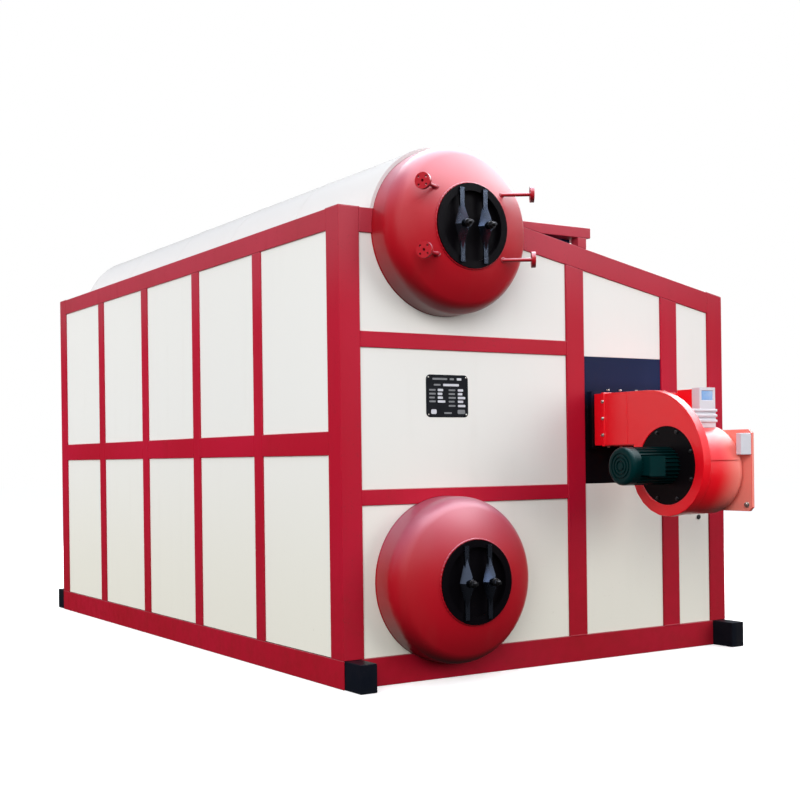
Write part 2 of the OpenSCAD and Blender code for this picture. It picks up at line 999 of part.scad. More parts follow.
// Hollow neck with the rim of its joint, open to the plate and to the fan scroll
module burner_neck() {
    rim = [joint_rise, joint_w / 2, joint_rise];
    wall = [cast_t, cast_t, cast_t];
    color(burner_red)
        placed()
            difference() {
                union() {
                    block([neck_x0, -neck_out, neck_z0], [neck_x1, -boss_out, neck_z1]);
                    block([neck_x0, -joint_out, neck_z0] - rim, [neck_x1, -joint_out, neck_z1] + rim);
                    block(
                        [neck_x1 - control_w + stand_in, -neck_out - stand_l, control_z0 + stand_in],
                        [neck_x1 - stand_in, -neck_out + cast_t, control_z1 - stand_in]
                    );
                }
                block(
                    [neck_x0, -neck_out, neck_z0] + wall,
                    [neck_x1 - cast_t, overrun - boss_out, neck_z1 - cast_t]
                );
                block(
                    [disc_x + cast_t, -neck_out - overrun, neck_z0 + cast_t],
                    [volute_x1 - cast_t, -joint_out, neck_z1 - cast_t]
                );
            }
}

// Side outline of the fan scroll and its duct to the neck, set in from the outer face
module volute_outline(inset, end) {
    tongue_angle = asin((neck_z0 + inset - fan_z) / (volute_r - inset));
    polygon(concat(
        [[end, neck_z1 - inset], [end, neck_z0 + inset]],
        arc([fan_y, fan_z], volute_r - inset, tongue_angle, -180),
        arc([volute_top_y, fan_z], volute_top_r - inset, 180, 90)
    ));
}

// Round face about the fan axis, drawn out along X
module on_fan_axis(x0, x1) {
    translate([0, fan_y, fan_z])
        along_x(x0, x1)
            children();
}

// Hollow fan scroll with a seat for the motor plate and an eye for the air
module burner_volute() {
    color(burner_red)
        placed()
            difference() {
                along_x(neck_x0, volute_x1)
                    volute_outline(0, -neck_out);
                along_x(disc_x + cast_t, volute_x1 - cast_t)
                    volute_outline(cast_t, overrun - neck_out);
                on_fan_axis(neck_x0 - overrun, disc_x)
                    circle(disc_r + seat_gap);
                on_fan_axis(neck_x0, disc_x + cast_t + overrun)
                    circle(disc_r - disc_ledge);
                on_fan_axis(volute_x1 - cast_t - overrun, volute_x1 + overrun)
                    circle(eye_r);
            }
}

// Puts the children on the inlet drum's axis with +Z away from the scroll
module on_inlet_axis() {
    translate([volute_x1, fan_y, inlet_z])
        rotate([0, 90, 0])
            children();
}

// Outer line of the inlet drum from the scroll to its rounded end, set in or out
function drum_line(inset) = concat(
    [[inlet_r - inset, 0]],
    arc([eye_r, inlet_l - shoulder_r], shoulder_r - inset, 0, 90)
);

// Air inlet drum with a raised cover over its upper part
module inlet_drum() {
    cover_l = inlet_l - shoulder_r - hump_in;
    color(burner_red)
        placed() {
            on_inlet_axis()
                rotate_extrude()
                    polygon(concat(
                        drum_line(0),
                        [[eye_r, inlet_l], [eye_r, inlet_l - cast_t]],
                        reversed(drum_line(cast_t))
                    ));
            difference() {
                on_inlet_axis()
                    translate([0, 0, hump_in])
                        cylinder(r = hump_r, h = cover_l);
                on_inlet_axis()
                    cylinder(r = inlet_r - cast_t / 2, h = inlet_l);
                translate([volute_x1, fan_y - 2 * hump_r, fan_z + hump_up - 2 * hump_r])
                    cube([inlet_l, 4 * hump_r, 2 * hump_r]);
            }
        }
}

module motor_plate() {
    color(skid_black)
        placed()
            on_fan_axis(motor_x1, disc_x)
                circle(disc_r);
}

// Finned motor with its fan cover and terminal box, standing on the motor plate
module burner_motor() {
    body_l = motor_l - motor_cap_l;
    flat_r = motor_r - cap_round;
    cap_pitch = flat_r / (cap_rings + 1);
    terminal_r = motor_r + terminal_h;
    color(motor_green)
        placed()
            translate([motor_x1, fan_y, fan_z]) {
                along_x(-body_l, 0) {
                    circle(motor_core_share * motor_r);
                    for (i = [1 : motor_fins])
                        rotate(360 * i / motor_fins)
                            translate([0, -fin_t / 2])
                                square([motor_r, fin_t]);
                }
                translate([-body_l, 0, 0])
                    rotate([0, -90, 0])
                        rotate_extrude()
                            difference() {
                                polygon(concat(
                                    [[0, -lid_t], [motor_r, -lid_t]],
                                    arc([flat_r, motor_cap_l - cap_round], cap_round, 0, 90),
                                    [[0, motor_cap_l]]
                                ));
                                for (i = [1 : cap_rings])
                                    translate([i * cap_pitch, motor_cap_l - cap_ring_in])
                                        square([cap_pitch / 2, cap_ring_in + overrun]);
                            }
                translate([-terminal_out - terminal_w, 0, -terminal_w / 2]) {
                    block([0, -terminal_r, 0], [terminal_w, 0, terminal_w]);
                    block(
                        [-lid_over, -terminal_r - lid_t, -lid_over],
                        [terminal_w + lid_over, -terminal_r, terminal_w + lid_over]
                    );
                }
            }
}

// Plate at the end of the inlet drum, with slots for the air
module end_plate() {
    half_l = end_plate_l / 2;
    half_h = end_plate_h / 2;
    color(burner_red)
        placed()
            translate([0, fan_y, inlet_z])
                along_x(inlet_x1, inlet_x1 + end_plate_t)
                    difference() {
                        polygon([
                            [end_plate_cut - half_l, -half_h], [half_l - end_plate_cut, -half_h],
                            [half_l, end_plate_cut - half_h], [half_l, half_h - end_plate_cut],
                            [half_l - end_plate_cut, half_h], [end_plate_cut - half_l, half_h],
                            [-half_l, half_h - end_plate_cut], [-half_l, end_plate_cut - half_h]
                        ]);
                        intersection() {
                            circle(eye_r - cast_t);
                            for (i = [1 : inlet_slots])
                                translate([-eye_r, i * slot_pitch - (slot_pitch + slot_h) / 2 - eye_r])
                                    square([2 * eye_r, slot_h]);
                        }
                    }
}

// Air damper on the inlet drum's cover, and its drive on the end plate
module air_damper() {
    cover_l = inlet_l - shoulder_r - hump_in;
    mid_x = volute_x1 + hump_in + cover_l / 2;
    color(box_grey)
        placed() {
            translate([0, fan_y, inlet_z])
                along_x(mid_x - damper_w / 2, mid_x + damper_w / 2)
                    difference() {
                        union() {
                            translate([blade_over - damper_l / 2, 0])
                                square([damper_l - 2 * blade_over, hump_r + damper_h]);
                            for (i = [1 : damper_blades])
                                translate([-damper_l / 2, hump_r + (2 * i - 1) * blade_t])
                                    square([damper_l, blade_t]);
                        }
                        circle(hump_r + seat_gap);
                    }
            translate([inlet_x1 - servo_w, fan_y - servo_side - servo_l, servo_z])
                cube([servo_w, servo_l, servo_h]);
        }
}

// Control box on the neck's stand, with a sunk window
module control_box() {
    color(box_grey)
        placed()
            translate([neck_x1 - control_w, -neck_out - stand_l - control_l, control_z0])
                difference() {
                    cube([control_w, control_l, control_h]);
                    translate([window_rim, window_in - overrun, control_h * (1 - window_share) - window_rim])
                        cube([control_w - 2 * window_rim, overrun, control_h * window_share]);
                }
}

skid_rails();
base_end_beams();
base_side_skirts();
base_cross_beams();
floor_plate();
corner_posts();
front_posts();
rear_posts();
front_cross_beams();
rear_cross_beams();
front_top_beam();
rear_top_beam();
side_posts();
side_mid_beams();
side_top_beams();
front_upper_panel();
front_middle_panel();
front_lower_panel();
burner_bay_panels();
front_right_panel();
left_panels();
right_panels();
rear_panels();
roof_left_strip();
roof_slope_front();
roof_slope_rear();
upper_drum_shell();
upper_front_head();
upper_lagging();
lower_drum_shell();
lower_front_head();
rear_heads();
manhole_rings();
manhole_covers();
manhole_yokes();
level_nozzles();
flue_flange();
flue_legs();
flue_neck();
burner_plate();
burner_neck();
burner_volute();
inlet_drum();
motor_plate();
burner_motor();
end_plate();
air_damper();
control_box();
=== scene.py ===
"""Dresses the packaged twin-drum steam boiler and sets it in a pale studio."""
import logging
import math
from dataclasses import dataclass, replace
from enum import Enum
from typing import Iterable, Sequence

import bmesh
import bpy
from mathutils import Matrix, Vector


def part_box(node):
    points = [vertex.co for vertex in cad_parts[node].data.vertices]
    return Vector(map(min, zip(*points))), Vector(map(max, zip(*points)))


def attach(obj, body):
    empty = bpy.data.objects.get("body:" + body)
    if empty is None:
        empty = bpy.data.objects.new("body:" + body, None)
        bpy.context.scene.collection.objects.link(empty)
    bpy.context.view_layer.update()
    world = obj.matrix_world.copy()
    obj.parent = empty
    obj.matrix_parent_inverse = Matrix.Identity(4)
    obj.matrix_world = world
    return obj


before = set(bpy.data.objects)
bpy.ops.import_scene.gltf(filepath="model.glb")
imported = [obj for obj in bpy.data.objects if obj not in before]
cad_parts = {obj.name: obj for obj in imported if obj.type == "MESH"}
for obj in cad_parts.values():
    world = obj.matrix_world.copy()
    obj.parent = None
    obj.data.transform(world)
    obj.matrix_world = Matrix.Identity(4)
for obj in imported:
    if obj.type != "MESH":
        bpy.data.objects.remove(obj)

BODY = "root"
LOG = logging.getLogger("boiler")

Material, Socket = bpy.types.Material, bpy.types.NodeSocket
Colour = tuple[float, float, float]
Spot = tuple[float, float, float]
Pair = tuple[float, float]
Outline = Sequence[Pair]
Path = Sequence[Vector]
Options = dict[str | int, object]
Mark = tuple[float, float, float, float]

LEFT, RIGHT = Vector((-1, 0, 0)), Vector((1, 0, 0))
FRONT, BACK = Vector((0, -1, 0)), Vector((0, 1, 0))
DOWN, UP = Vector((0, 0, -1)), Vector((0, 0, 1))
PART = Matrix.Identity(4)
SIDEWAYS = 0.9


class Slot(Enum):
    """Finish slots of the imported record."""

    FRAME = "frame_red"
    SKID = "skid_black"
    PANEL = "panel_cream"
    DRUM = "drum_red"
    LAGGING = "lagging_white"
    MANHOLE = "manhole_black"
    PLATE = "plate_navy"
    BURNER = "burner_red"
    MOTOR = "motor_green"
    BOX = "box_grey"


class Axis(Enum):
    """Axes that a finish can change along."""

    X = "X"
    Z = "Z"


class Value:
    """Value socket that takes part in Python arithmetic."""

    def __init__(self, sheet: "Sheet", socket: Socket) -> None:
        """Keeps the socket and the sheet it lies on."""
        self.sheet = sheet
        self.socket = socket

    def __add__(self, other: "Value | float") -> "Value":
        """Sum with a value or a number."""
        return self.sheet.math("ADD", self, other)

    __radd__ = __add__

    def __sub__(self, other: "Value | float") -> "Value":
        """Difference from a value or a number."""
        return self.sheet.math("SUBTRACT", self, other)

    def __rsub__(self, other: "Value | float") -> "Value":
        """Number minus this value."""
        return self.sheet.math("SUBTRACT", other, self)

    def __mul__(self, other: "Value | float") -> "Value":
        """Product with a value or a number."""
        return self.sheet.math("MULTIPLY", self, other)

    __rmul__ = __mul__

    def ramp(self, span: Pair) -> "Value":
        """Eases from 0 at one bound to 1 at the other.

        Args:
            span: Values that give 0 and 1.

        Returns:
            The eased value.
        """
        bounds = {"Value": self, "From Min": span[0], "From Max": span[1]}
        ease = {"interpolation_type": "SMOOTHSTEP"}
        node = self.sheet.node("ShaderNodeMapRange", ease, bounds)
        return Value(self.sheet, node.outputs["Result"])


@dataclass(frozen=True)
class Grain:
    """Cloudy noise: features a metre, octaves, stretch along each axis and bounds of its mask."""

    scale: float
    octaves: float = 3.0
    stretch: Spot = (1.0, 1.0, 1.0)
    span: Pair = (0.0, 1.0)


class Sheet:
    """Node sheet of one material or of the world."""

    def __init__(self, owner: Material | bpy.types.World) -> None:
        """Starts an empty sheet.

        Args:
            owner: Material or world that the sheet belongs to.
        """
        owner.use_nodes = True
        self.tree = owner.node_tree
        self.tree.nodes.clear()

    def node(
        self, kind: str, settings: Options | None = None, sockets: Options | None = None
    ) -> bpy.types.Node:
        """Adds one node.

        Args:
            kind: Node type.
            settings: Properties, set before the sockets.
            sockets: Values or links of the inputs, by name or place.

        Returns:
            The new node.
        """
        made = self.tree.nodes.new(kind)
        for key, setting in (settings or {}).items():
            setattr(made, key, setting)
        for key, given in (sockets or {}).items():
            source = given.socket if isinstance(given, Value) else given
            if isinstance(source, Socket):
                self.tree.links.new(source, made.inputs[key])
            else:
                made.inputs[key].default_value = source
        return made

    def math(self, operation: str, a: Value | float, b: Value | float) -> Value:
        """Adds a Math node that works on two values or numbers."""
        made = self.node("ShaderNodeMath", {"operation": operation}, {0: a, 1: b})
        return Value(self, made.outputs[0])

    def mix(self, share: Value | float, a: Colour | Socket, b: Colour | Socket) -> Socket:
        """Blends two colours.

        Args:
            share: How much of the second colour shows.
            a: First colour.
            b: Second colour.

        Returns:
            The blended colour's socket.
        """
        a, b = ((*c, 1.0) if isinstance(c, tuple) else c for c in (a, b))
        sockets = {0: share, 6: a, 7: b}
        return self.node("ShaderNodeMix", {"data_type": "RGBA"}, sockets).outputs[2]

    def metres(self) -> Socket:
        """Place on the part, in metres."""
        return self.node("ShaderNodeTexCoord").outputs["Object"]

    def along(self, vector: Socket, axis: Axis) -> Value:
        """One axis of a vector."""
        made = self.node("ShaderNodeSeparateXYZ", None, {0: vector})
        return Value(self, made.outputs[axis.value])

    def level(self, axis: Axis = Axis.Z) -> Value:
        """Place along one axis of the part, in metres."""
        return self.along(self.metres(), axis)

    def rise(self) -> Value:
        """How far a face looks up, from -1 to 1."""
        return self.along(self.node("ShaderNodeNewGeometry").outputs["Normal"], Axis.Z)

    def noise(self, grain: Grain) -> Value:
        """Cloudy noise over the part.

        Args:
            grain: What the noise is like.

        Returns:
            Noise from 0 to 1.
        """
        sides = {0: self.metres(), 1: grain.stretch}
        place = self.node("ShaderNodeVectorMath", {"operation": "MULTIPLY"}, sides).outputs[0]
        cloud = {"Vector": place, "Scale": grain.scale, "Detail": grain.octaves}
        made = self.node("ShaderNodeTexNoise", {"noise_dimensions": "3D"}, cloud)
        return Value(self, made.outputs["Fac"])

    def mask(self, grain: Grain) -> Value:
        """Noise that is eased between its bounds."""
        return self.noise(grain).ramp(grain.span)

    def surface(
        self, colour: Socket, rough: Value | float, relief: Value | None, constants: Options
    ) -> None:
        """Ends a material's sheet in one shader.

        Args:
            colour: Base colour.
            rough: Roughness.
            relief: Height of the surface's relief, in metres.
            constants: Other sockets that are even over the surface.
        """
        sockets = {**constants, "Base Color": colour, "Roughness": rough}
        if relief is not None:
            height = {"Strength": 1.0, "Distance": 1.0, "Height": relief}
            sockets["Normal"] = self.node("ShaderNodeBump", None, height).outputs["Normal"]
        shader = self.node("ShaderNodeBsdfPrincipled", None, sockets)
        self.node("ShaderNodeOutputMaterial", None, {"Surface": shader.outputs[0]})


@dataclass(frozen=True)
class Finish:
    """Named finish that draws itself as nodes."""

    GRAIN_DEPTH = 0.00003

    name: str

    def draw(self, sheet: Sheet) -> None:
        """Draws the finish on an empty sheet."""
        raise NotImplementedError

    def material(self) -> Material:
        """Builds the material.

        Returns:
            The material with its nodes.
        """
        made = bpy.data.materials.new(self.name)
        self.draw(Sheet(made))
        return made


@dataclass(frozen=True)
class Paint(Finish):
    """Gloss paint on steel, with an uneven tone, chips, runs of dirt and dust, and painted light:
    shade towards the foot and underneath, a shadow below a height, a sheen on upward faces and a
    pale reflection over a span.
    """

    DRIFT = Grain(0.8, 2.0, span=(0.32, 0.68))
    MOTTLE = Grain(11.0, 4.0)
    GRIT = Grain(95.0, span=(0.60, 0.68))
    RUN = Grain(7.0, 3.0, (1.0, 1.0, 0.06), (0.52, 0.75))
    PEEL = Grain(230.0, 2.0)
    PATCH_SPAN = (0.48, 0.62)
    DUST_SPAN = (0.30, 0.70)
    DUST_AND_SHADE_HEIGHT = (0.0, 1.5)
    EVEN_DUST = 0.7
    UPWARD = (0.05, 0.75)
    DOWNWARD = (1.15, 1.95)
    EDGE_WEAR = 3.0
    CHIP_DEPTH = 0.0002
    MOTTLE_ROUGH = 0.10
    CHIP_ROUGH = 0.35
    DIRT_ROUGH = 0.5

    tone: Colour
    shade: Colour
    chip: Colour = (0.045, 0.022, 0.018)
    dirt: Colour = (0.20, 0.16, 0.12)
    gloss: float = 0.36
    shine: float = 0.5
    coat: float = 0.0
    coat_rough: float = 0.2
    peel: float = 0.00006
    wave: float = 0.0006
    worn: float = 0.25
    runs: float = 0.10
    # Share of the darkening towards the foot: dust, and on the frame painted shade.
    dust: float = 0.0
    metal: float = 0.0
    # Colour of upward faces, dust and on the drums painted sheen; also the colour of the painted
    # reflection.
    settled: Colour = (0.26, 0.22, 0.25)
    settle: float = 0.0
    # Colour of the painted shade underneath and of the painted shadow below a height.
    grime: Colour = (0.05, 0.001, 0.003)
    under: float = 0.0
    # Heights over which the painted shadow fades out upwards.
    painted_shadow_below: Pair | None = None
    # Span along an axis over which the pale painted reflection grows.
    haze: Pair | None = None
    reflection_axis: Axis = Axis.Z
    reflection_share: float = 0.14

    def edge(self) -> "Paint":
        """The same paint along an edge, where it is worn more."""
        worn = min(1.0, self.worn * self.EDGE_WEAR)
        return replace(self, name=self.name + "_edge", worn=worn)

    def draw(self, sheet: Sheet) -> None:
        """Lays dirt, dust with painted shade towards the foot, dust with a painted sheen on upward
        faces, painted shade underneath, a painted shadow below a height, a painted reflection over
        a span, and chips over the tone, in that order.

        Args:
            sheet: Empty sheet.
        """
        drift, mottle = sheet.noise(self.DRIFT), sheet.noise(self.MOTTLE)
        rise = sheet.rise()
        # Towards the foot the paint darkens: dust, and on the frame painted shade.
        low = 1 - sheet.level().ramp(self.DUST_AND_SHADE_HEIGHT)
        chips = sheet.mask(self.GRIT) * mottle.ramp(self.PATCH_SPAN) * self.worn
        streaks = sheet.mask(self.RUN) * self.runs
        patches = (1 - self.EVEN_DUST) * mottle.ramp(self.DUST_SPAN)
        dusty = low * (self.EVEN_DUST + patches) * self.dust
        tone = sheet.mix(drift.ramp(self.DRIFT.span), self.tone, self.shade)
        tone = sheet.mix(streaks, tone, self.dirt)
        tone = sheet.mix(dusty, tone, self.dirt)
        # Upward faces take the settled colour: dust, and on the drums a painted sheen.
        tone = sheet.mix(rise.ramp(self.UPWARD) * self.settle, tone, self.settled)
        # Painted shade on downward faces.
        tone = sheet.mix((1 - rise).ramp(self.DOWNWARD) * self.under, tone, self.grime)
        # Painted shadow below a height.
        if self.painted_shadow_below:
            tone = sheet.mix(1 - sheet.level().ramp(self.painted_shadow_below), tone, self.grime)
        # Pale painted reflection growing along an axis.
        if self.haze:
            reflection_mask = sheet.level(self.reflection_axis).ramp(self.haze) * self.reflection_share
            tone = sheet.mix(reflection_mask, tone, self.settled)
        tone = sheet.mix(chips, tone, self.chip)
        rough = self.gloss + self.MOTTLE_ROUGH * (mottle - 0.5)
        rough = rough + self.CHIP_ROUGH * chips + self.DIRT_ROUGH * (streaks + dusty)
        relief = self.peel * sheet.noise(self.PEEL) + self.wave * drift - self.CHIP_DEPTH * chips
        coat = {"Coat Weight": self.coat, "Coat Roughness": self.coat_rough}
        coat |= {"Metallic": self.metal, "Specular IOR Level": self.shine}
        sheet.surface(tone, rough, relief, coat)


@dataclass(frozen=True)
class SheetPaint(Finish):
    """Painted sheet over insulation, a little wavy, with faint runs, a creamier foot and dust."""

    SWELL = Grain(0.9, 1.0)
    CLOUD = Grain(3.5, 4.0)
    GRAIN = Grain(140.0, 2.0)
    RUN = Grain(9.0, 4.0, (1.0, 1.0, 0.05), (0.50, 0.78))
    SPECK = Grain(60.0, 2.0, span=(0.72, 0.78))
    FOOT_HEIGHT = (0.1, 1.8)
    FOOT_SHARE = 0.95
    PATCH_SPAN = (0.35, 0.70)
    SPECK_SHARE = 0.25
    UPWARD = (0.70, 0.97)
    DUST_SPAN = (0.25, 0.75)
    EVEN_DUST = 0.75
    CLOUD_ROUGH = 0.14
    DIRT_ROUGH = 0.3

    tone: Colour
    foot: Colour
    grime: Colour = (0.42, 0.38, 0.30)
    gloss: float = 0.48
    shine: float = 0.18
    buckle: float = 0.0016
    runs: float = 0.05
    settled: Colour = (0.43, 0.41, 0.37)
    settle: float = 0.0

    def draw(self, sheet: Sheet) -> None:
        """Lays the foot's tone, runs, specks and dust over the sheet.

        Args:
            sheet: Empty sheet.
        """
        cloud = sheet.noise(self.CLOUD)
        low = 1 - sheet.level().ramp(self.FOOT_HEIGHT)
        streaks = sheet.mask(self.RUN) * cloud.ramp(self.PATCH_SPAN) * self.runs
        specks = sheet.mask(self.SPECK) * low * self.SPECK_SHARE
        patches = (1 - self.EVEN_DUST) * cloud.ramp(self.DUST_SPAN)
        dusty = sheet.rise().ramp(self.UPWARD) * (self.EVEN_DUST + patches) * self.settle
        tone = sheet.mix(low * self.FOOT_SHARE, self.tone, self.foot)
        tone = sheet.mix(streaks + specks, tone, self.grime)
        tone = sheet.mix(dusty, tone, self.settled)
        rough = self.gloss + self.CLOUD_ROUGH * (cloud - 0.5) + self.DIRT_ROUGH * (streaks + dusty)
        relief = self.buckle * sheet.noise(self.SWELL) + self.GRAIN_DEPTH * sheet.noise(self.GRAIN)
        sheet.surface(tone, rough, relief, {"Specular IOR Level": self.shine})


@dataclass(frozen=True)
class Zinc(Finish):
    """Plated or blackened steel of small fasteners."""

    CLOUD = Grain(60.0, span=(0.40, 0.70))
    GRAIN = Grain(600.0, 2.0)
    CLOUD_ROUGH = 0.25

    tone: Colour = (0.62, 0.61, 0.57)
    tarnish: Colour = (0.30, 0.28, 0.24)
    gloss: float = 0.34
    metal: float = 0.9

    def draw(self, sheet: Sheet) -> None:
        """Clouds the plating with tarnish.

        Args:
            sheet: Empty sheet.
        """
        cloud = sheet.noise(self.CLOUD)
        tone = sheet.mix(cloud.ramp(self.CLOUD.span), self.tone, self.tarnish)
        rough = self.gloss + self.CLOUD_ROUGH * (cloud - 0.5)
        relief = self.GRAIN_DEPTH * sheet.noise(self.GRAIN)
        sheet.surface(tone, rough, relief, {"Metallic": self.metal})


@dataclass(frozen=True)
class Pane(Finish):
    """Tinted window sheet, printed field or plug, smooth with faint scratches."""

    CLOUD = Grain(18.0, span=(0.35, 0.70))
    SCRATCH = Grain(160.0, 3.0, (1.0, 1.0, 0.04), (0.66, 0.72))
    CLOUD_SHARE = 0.6
    LINE_SHARE = 0.2
    LINE_ROUGH = 0.25
    SCRATCH_DEPTH = 0.00002

    tone: Colour
    haze: Colour
    gloss: float = 0.18
    shine: float = 0.5

    def draw(self, sheet: Sheet) -> None:
        """Hazes the pane and scratches it.

        Args:
            sheet: Empty sheet.
        """
        scratch = sheet.noise(self.SCRATCH)
        lines = scratch.ramp(self.SCRATCH.span)
        cloud = sheet.mask(self.CLOUD) * self.CLOUD_SHARE
        tone = sheet.mix(cloud + lines * self.LINE_SHARE, self.tone, self.haze)
        rough = self.gloss + self.LINE_ROUGH * lines
        relief = self.SCRATCH_DEPTH * scratch
        sheet.surface(tone, rough, relief, {"Specular IOR Level": self.shine})


@dataclass(frozen=True)
class FloorPaint(Finish):
    """Pale floor that glows a little, to meet the white surroundings."""

    CLOUD = Grain(0.6, 2.0, span=(0.3, 0.7))

    tone: Colour = (0.80, 0.80, 0.80)
    shade: Colour = (0.77, 0.77, 0.77)
    rough: float = 0.7
    glow: float = 0.48

    def draw(self, sheet: Sheet) -> None:
        """Clouds the floor faintly.

        Args:
            sheet: Empty sheet.
        """
        tone = sheet.mix(sheet.mask(self.CLOUD), self.tone, self.shade)
        glow = {"Emission Color": (1.0, 1.0, 1.0, 1.0), "Emission Strength": self.glow}
        sheet.surface(tone, self.rough, None, glow)


class Palette:
    """Finishes of the boiler, each built once."""

    PAINTS = {
        Slot.FRAME: Paint(
            "frame_red_gloss", (0.485, 0.006, 0.032), (0.435, 0.005, 0.023),
            # dust=0.45 darkens the lower frame in the dirt colour: dust and painted shade.
            dirt=(0.200, 0.006, 0.005), shine=0.22, dust=0.45, settle=0.25,
            # Pale painted reflection on the top beams, from 2.15 m to 2.75 m up.
            haze=(2.15, 2.75),
        ),
        Slot.SKID: Paint(
            "skid_black_gloss", (0.0008, 0.003, 0.011), (0.0015, 0.004, 0.009), shine=0.04,
            dust=0.03, worn=0.10,
        ),
        Slot.DRUM: Paint(
            "drum_red_gloss", (0.430, 0.004, 0.013), (0.395, 0.003, 0.010), gloss=0.40,
            shine=0.35, coat=0.4, coat_rough=0.34, worn=0.05, runs=0.03, wave=0.0003,
            # Lilac on upward faces is dust and painted sheen; under=0.8 is painted shade on
            # downward faces.
            settled=(0.36, 0.19, 0.30), settle=0.45, under=0.8,
        ),
        Slot.MANHOLE: Paint(
            "manhole_black_gloss", (0.0025, 0.002, 0.003), (0.004, 0.003, 0.004), shine=0.07,
            chip=(0.03, 0.02, 0.015), runs=0.01, worn=0.10,
        ),
        Slot.PLATE: Paint(
            "plate_navy_satin", (0.014, 0.023, 0.080), (0.009, 0.015, 0.050), gloss=0.46,
            # The grime colour here is the painted shadow below the burner, full under 1.62 m and
            # gone above 1.86 m.
            shine=0.12, runs=0.03, grime=(0.0015, 0.0015, 0.0025),
            painted_shadow_below=(1.62, 1.86),
        ),
        Slot.BURNER: Paint(
            "burner_red_enamel", (0.900, 0.004, 0.014), (0.850, 0.003, 0.012), gloss=0.30,
            shine=0.3, coat=0.6, coat_rough=0.32, worn=0.04, runs=0.01, peel=0.00010,
        ),
        Slot.MOTOR: Paint(
            "motor_green_black", (0.0005, 0.023, 0.024), (0.0005, 0.014, 0.015), gloss=0.30,
            shine=0.08, peel=0.00012, runs=0.02, worn=0.10,
        ),
        Slot.BOX: Paint(
            "box_grey_enamel", (0.70, 0.69, 0.74), (0.64, 0.64, 0.70), coat=0.2,
            runs=0.03, worn=0.05,
        ),
    }
    SHEETS = {
        Slot.PANEL: SheetPaint("panel_cream_sheet", (0.82, 0.82, 0.80), (0.80, 0.785, 0.70)),
        Slot.LAGGING: SheetPaint(
            "lagging_white_sheet", (0.715, 0.705, 0.700), (0.70, 0.69, 0.68), buckle=0.003,
            shine=0.02, settle=0.5,
        ),
    }

    def __init__(self) -> None:
        """Builds every finish."""
        self.face = {s: p.material() for s, p in {**self.PAINTS, **self.SHEETS}.items()}
        self.edge = {s: p.edge().material() for s, p in self.PAINTS.items()}
        self.yoke = Paint(
            "yoke_steel", (0.15, 0.175, 0.23), (0.11, 0.135, 0.18), gloss=0.26,
            metal=1.0, runs=0.05, worn=0.2,
        ).material()
        self.shell = replace(
            self.PAINTS[Slot.DRUM], name="drum_red_matt", gloss=0.6, shine=0.12, coat=0.0
        ).material()
        # Burner paint that pales towards +X, from 0.50 m to 0.74 m: painted reflection.
        self.burner_reflection = replace(
            self.PAINTS[Slot.BURNER], name="burner_red_painted_reflection", settled=(0.93, 0.31, 0.25),
            haze=(0.50, 0.74), reflection_axis=Axis.X, reflection_share=0.85,
        ).material()
        self.roof = replace(
            self.SHEETS[Slot.PANEL], name="roof_cream_sheet", shine=0.05, settle=0.52
        ).material()
        self.zinc = Zinc("zinc_bright").material()
        self.steel = Zinc("stud_black_oxide", (0.05, 0.05, 0.055), (0.03, 0.028, 0.026)).material()
        self.window = Pane("window_blue", (0.22, 0.42, 0.78), (0.45, 0.60, 0.82)).material()
        self.sign = Pane(
            "sign_black", (0.008, 0.009, 0.012), (0.012, 0.013, 0.017), 0.4, 0.1
        ).material()
        self.field = Pane("sign_field", (0.66, 0.67, 0.74), (0.55, 0.56, 0.62), 0.4).material()
        self.label = Pane("sign_label", (0.24, 0.25, 0.27), (0.18, 0.19, 0.20), 0.4, 0.1).material()
        self.rubber = Pane(
            "plug_black", (0.010, 0.010, 0.011), (0.020, 0.020, 0.020), 0.6
        ).material()


def facing(at: Vector, out: Vector) -> Matrix:
    """Frame of a small piece: its X runs along the part's X, or along Y on the part's sides.

    Args:
        at: Where the piece stands, in metres.
        out: Way that the frame's Z points.

    Returns:
        The frame's matrix.
    """
    z = out.normalized()
    y = z.cross(BACK if abs(z.x) > SIDEWAYS else RIGHT).normalized()
    return Matrix.Translation(at) @ Matrix((y.cross(z), y, z)).transposed().to_4x4()


def polygon(sides: int, radius: float, turn: float = 0.0) -> Outline:
    """Regular flat outline, in metres.

    Args:
        sides: Number of corners.
        radius: Distance of the corners from the middle.
        turn: Angle of the first corner in radians.

    Returns:
        The corners.
    """
    step = 2 * math.pi / sides
    angles = [turn + i * step for i in range(sides)]
    return [(radius * math.cos(a), radius * math.sin(a)) for a in angles]


def rounded(width: float, height: float, radius: float, steps: int = 5) -> Outline:
    """Flat rectangle with round corners, in metres.

    Args:
        width: Size along X.
        height: Size along Y.
        radius: Radius of the corners.
        steps: Pieces of each round.

    Returns:
        The points around it.
    """
    points = []
    for sx, sy, quarter in ((1, 1, 0), (-1, 1, 1), (-1, -1, 2), (1, -1, 3)):
        for i in range(steps + 1):
            a = (quarter + i / steps) * math.pi / 2
            points.append((
                sx * (width / 2 - radius) + radius * math.cos(a),
                sy * (height / 2 - radius) + radius * math.sin(a),
            ))
    return points


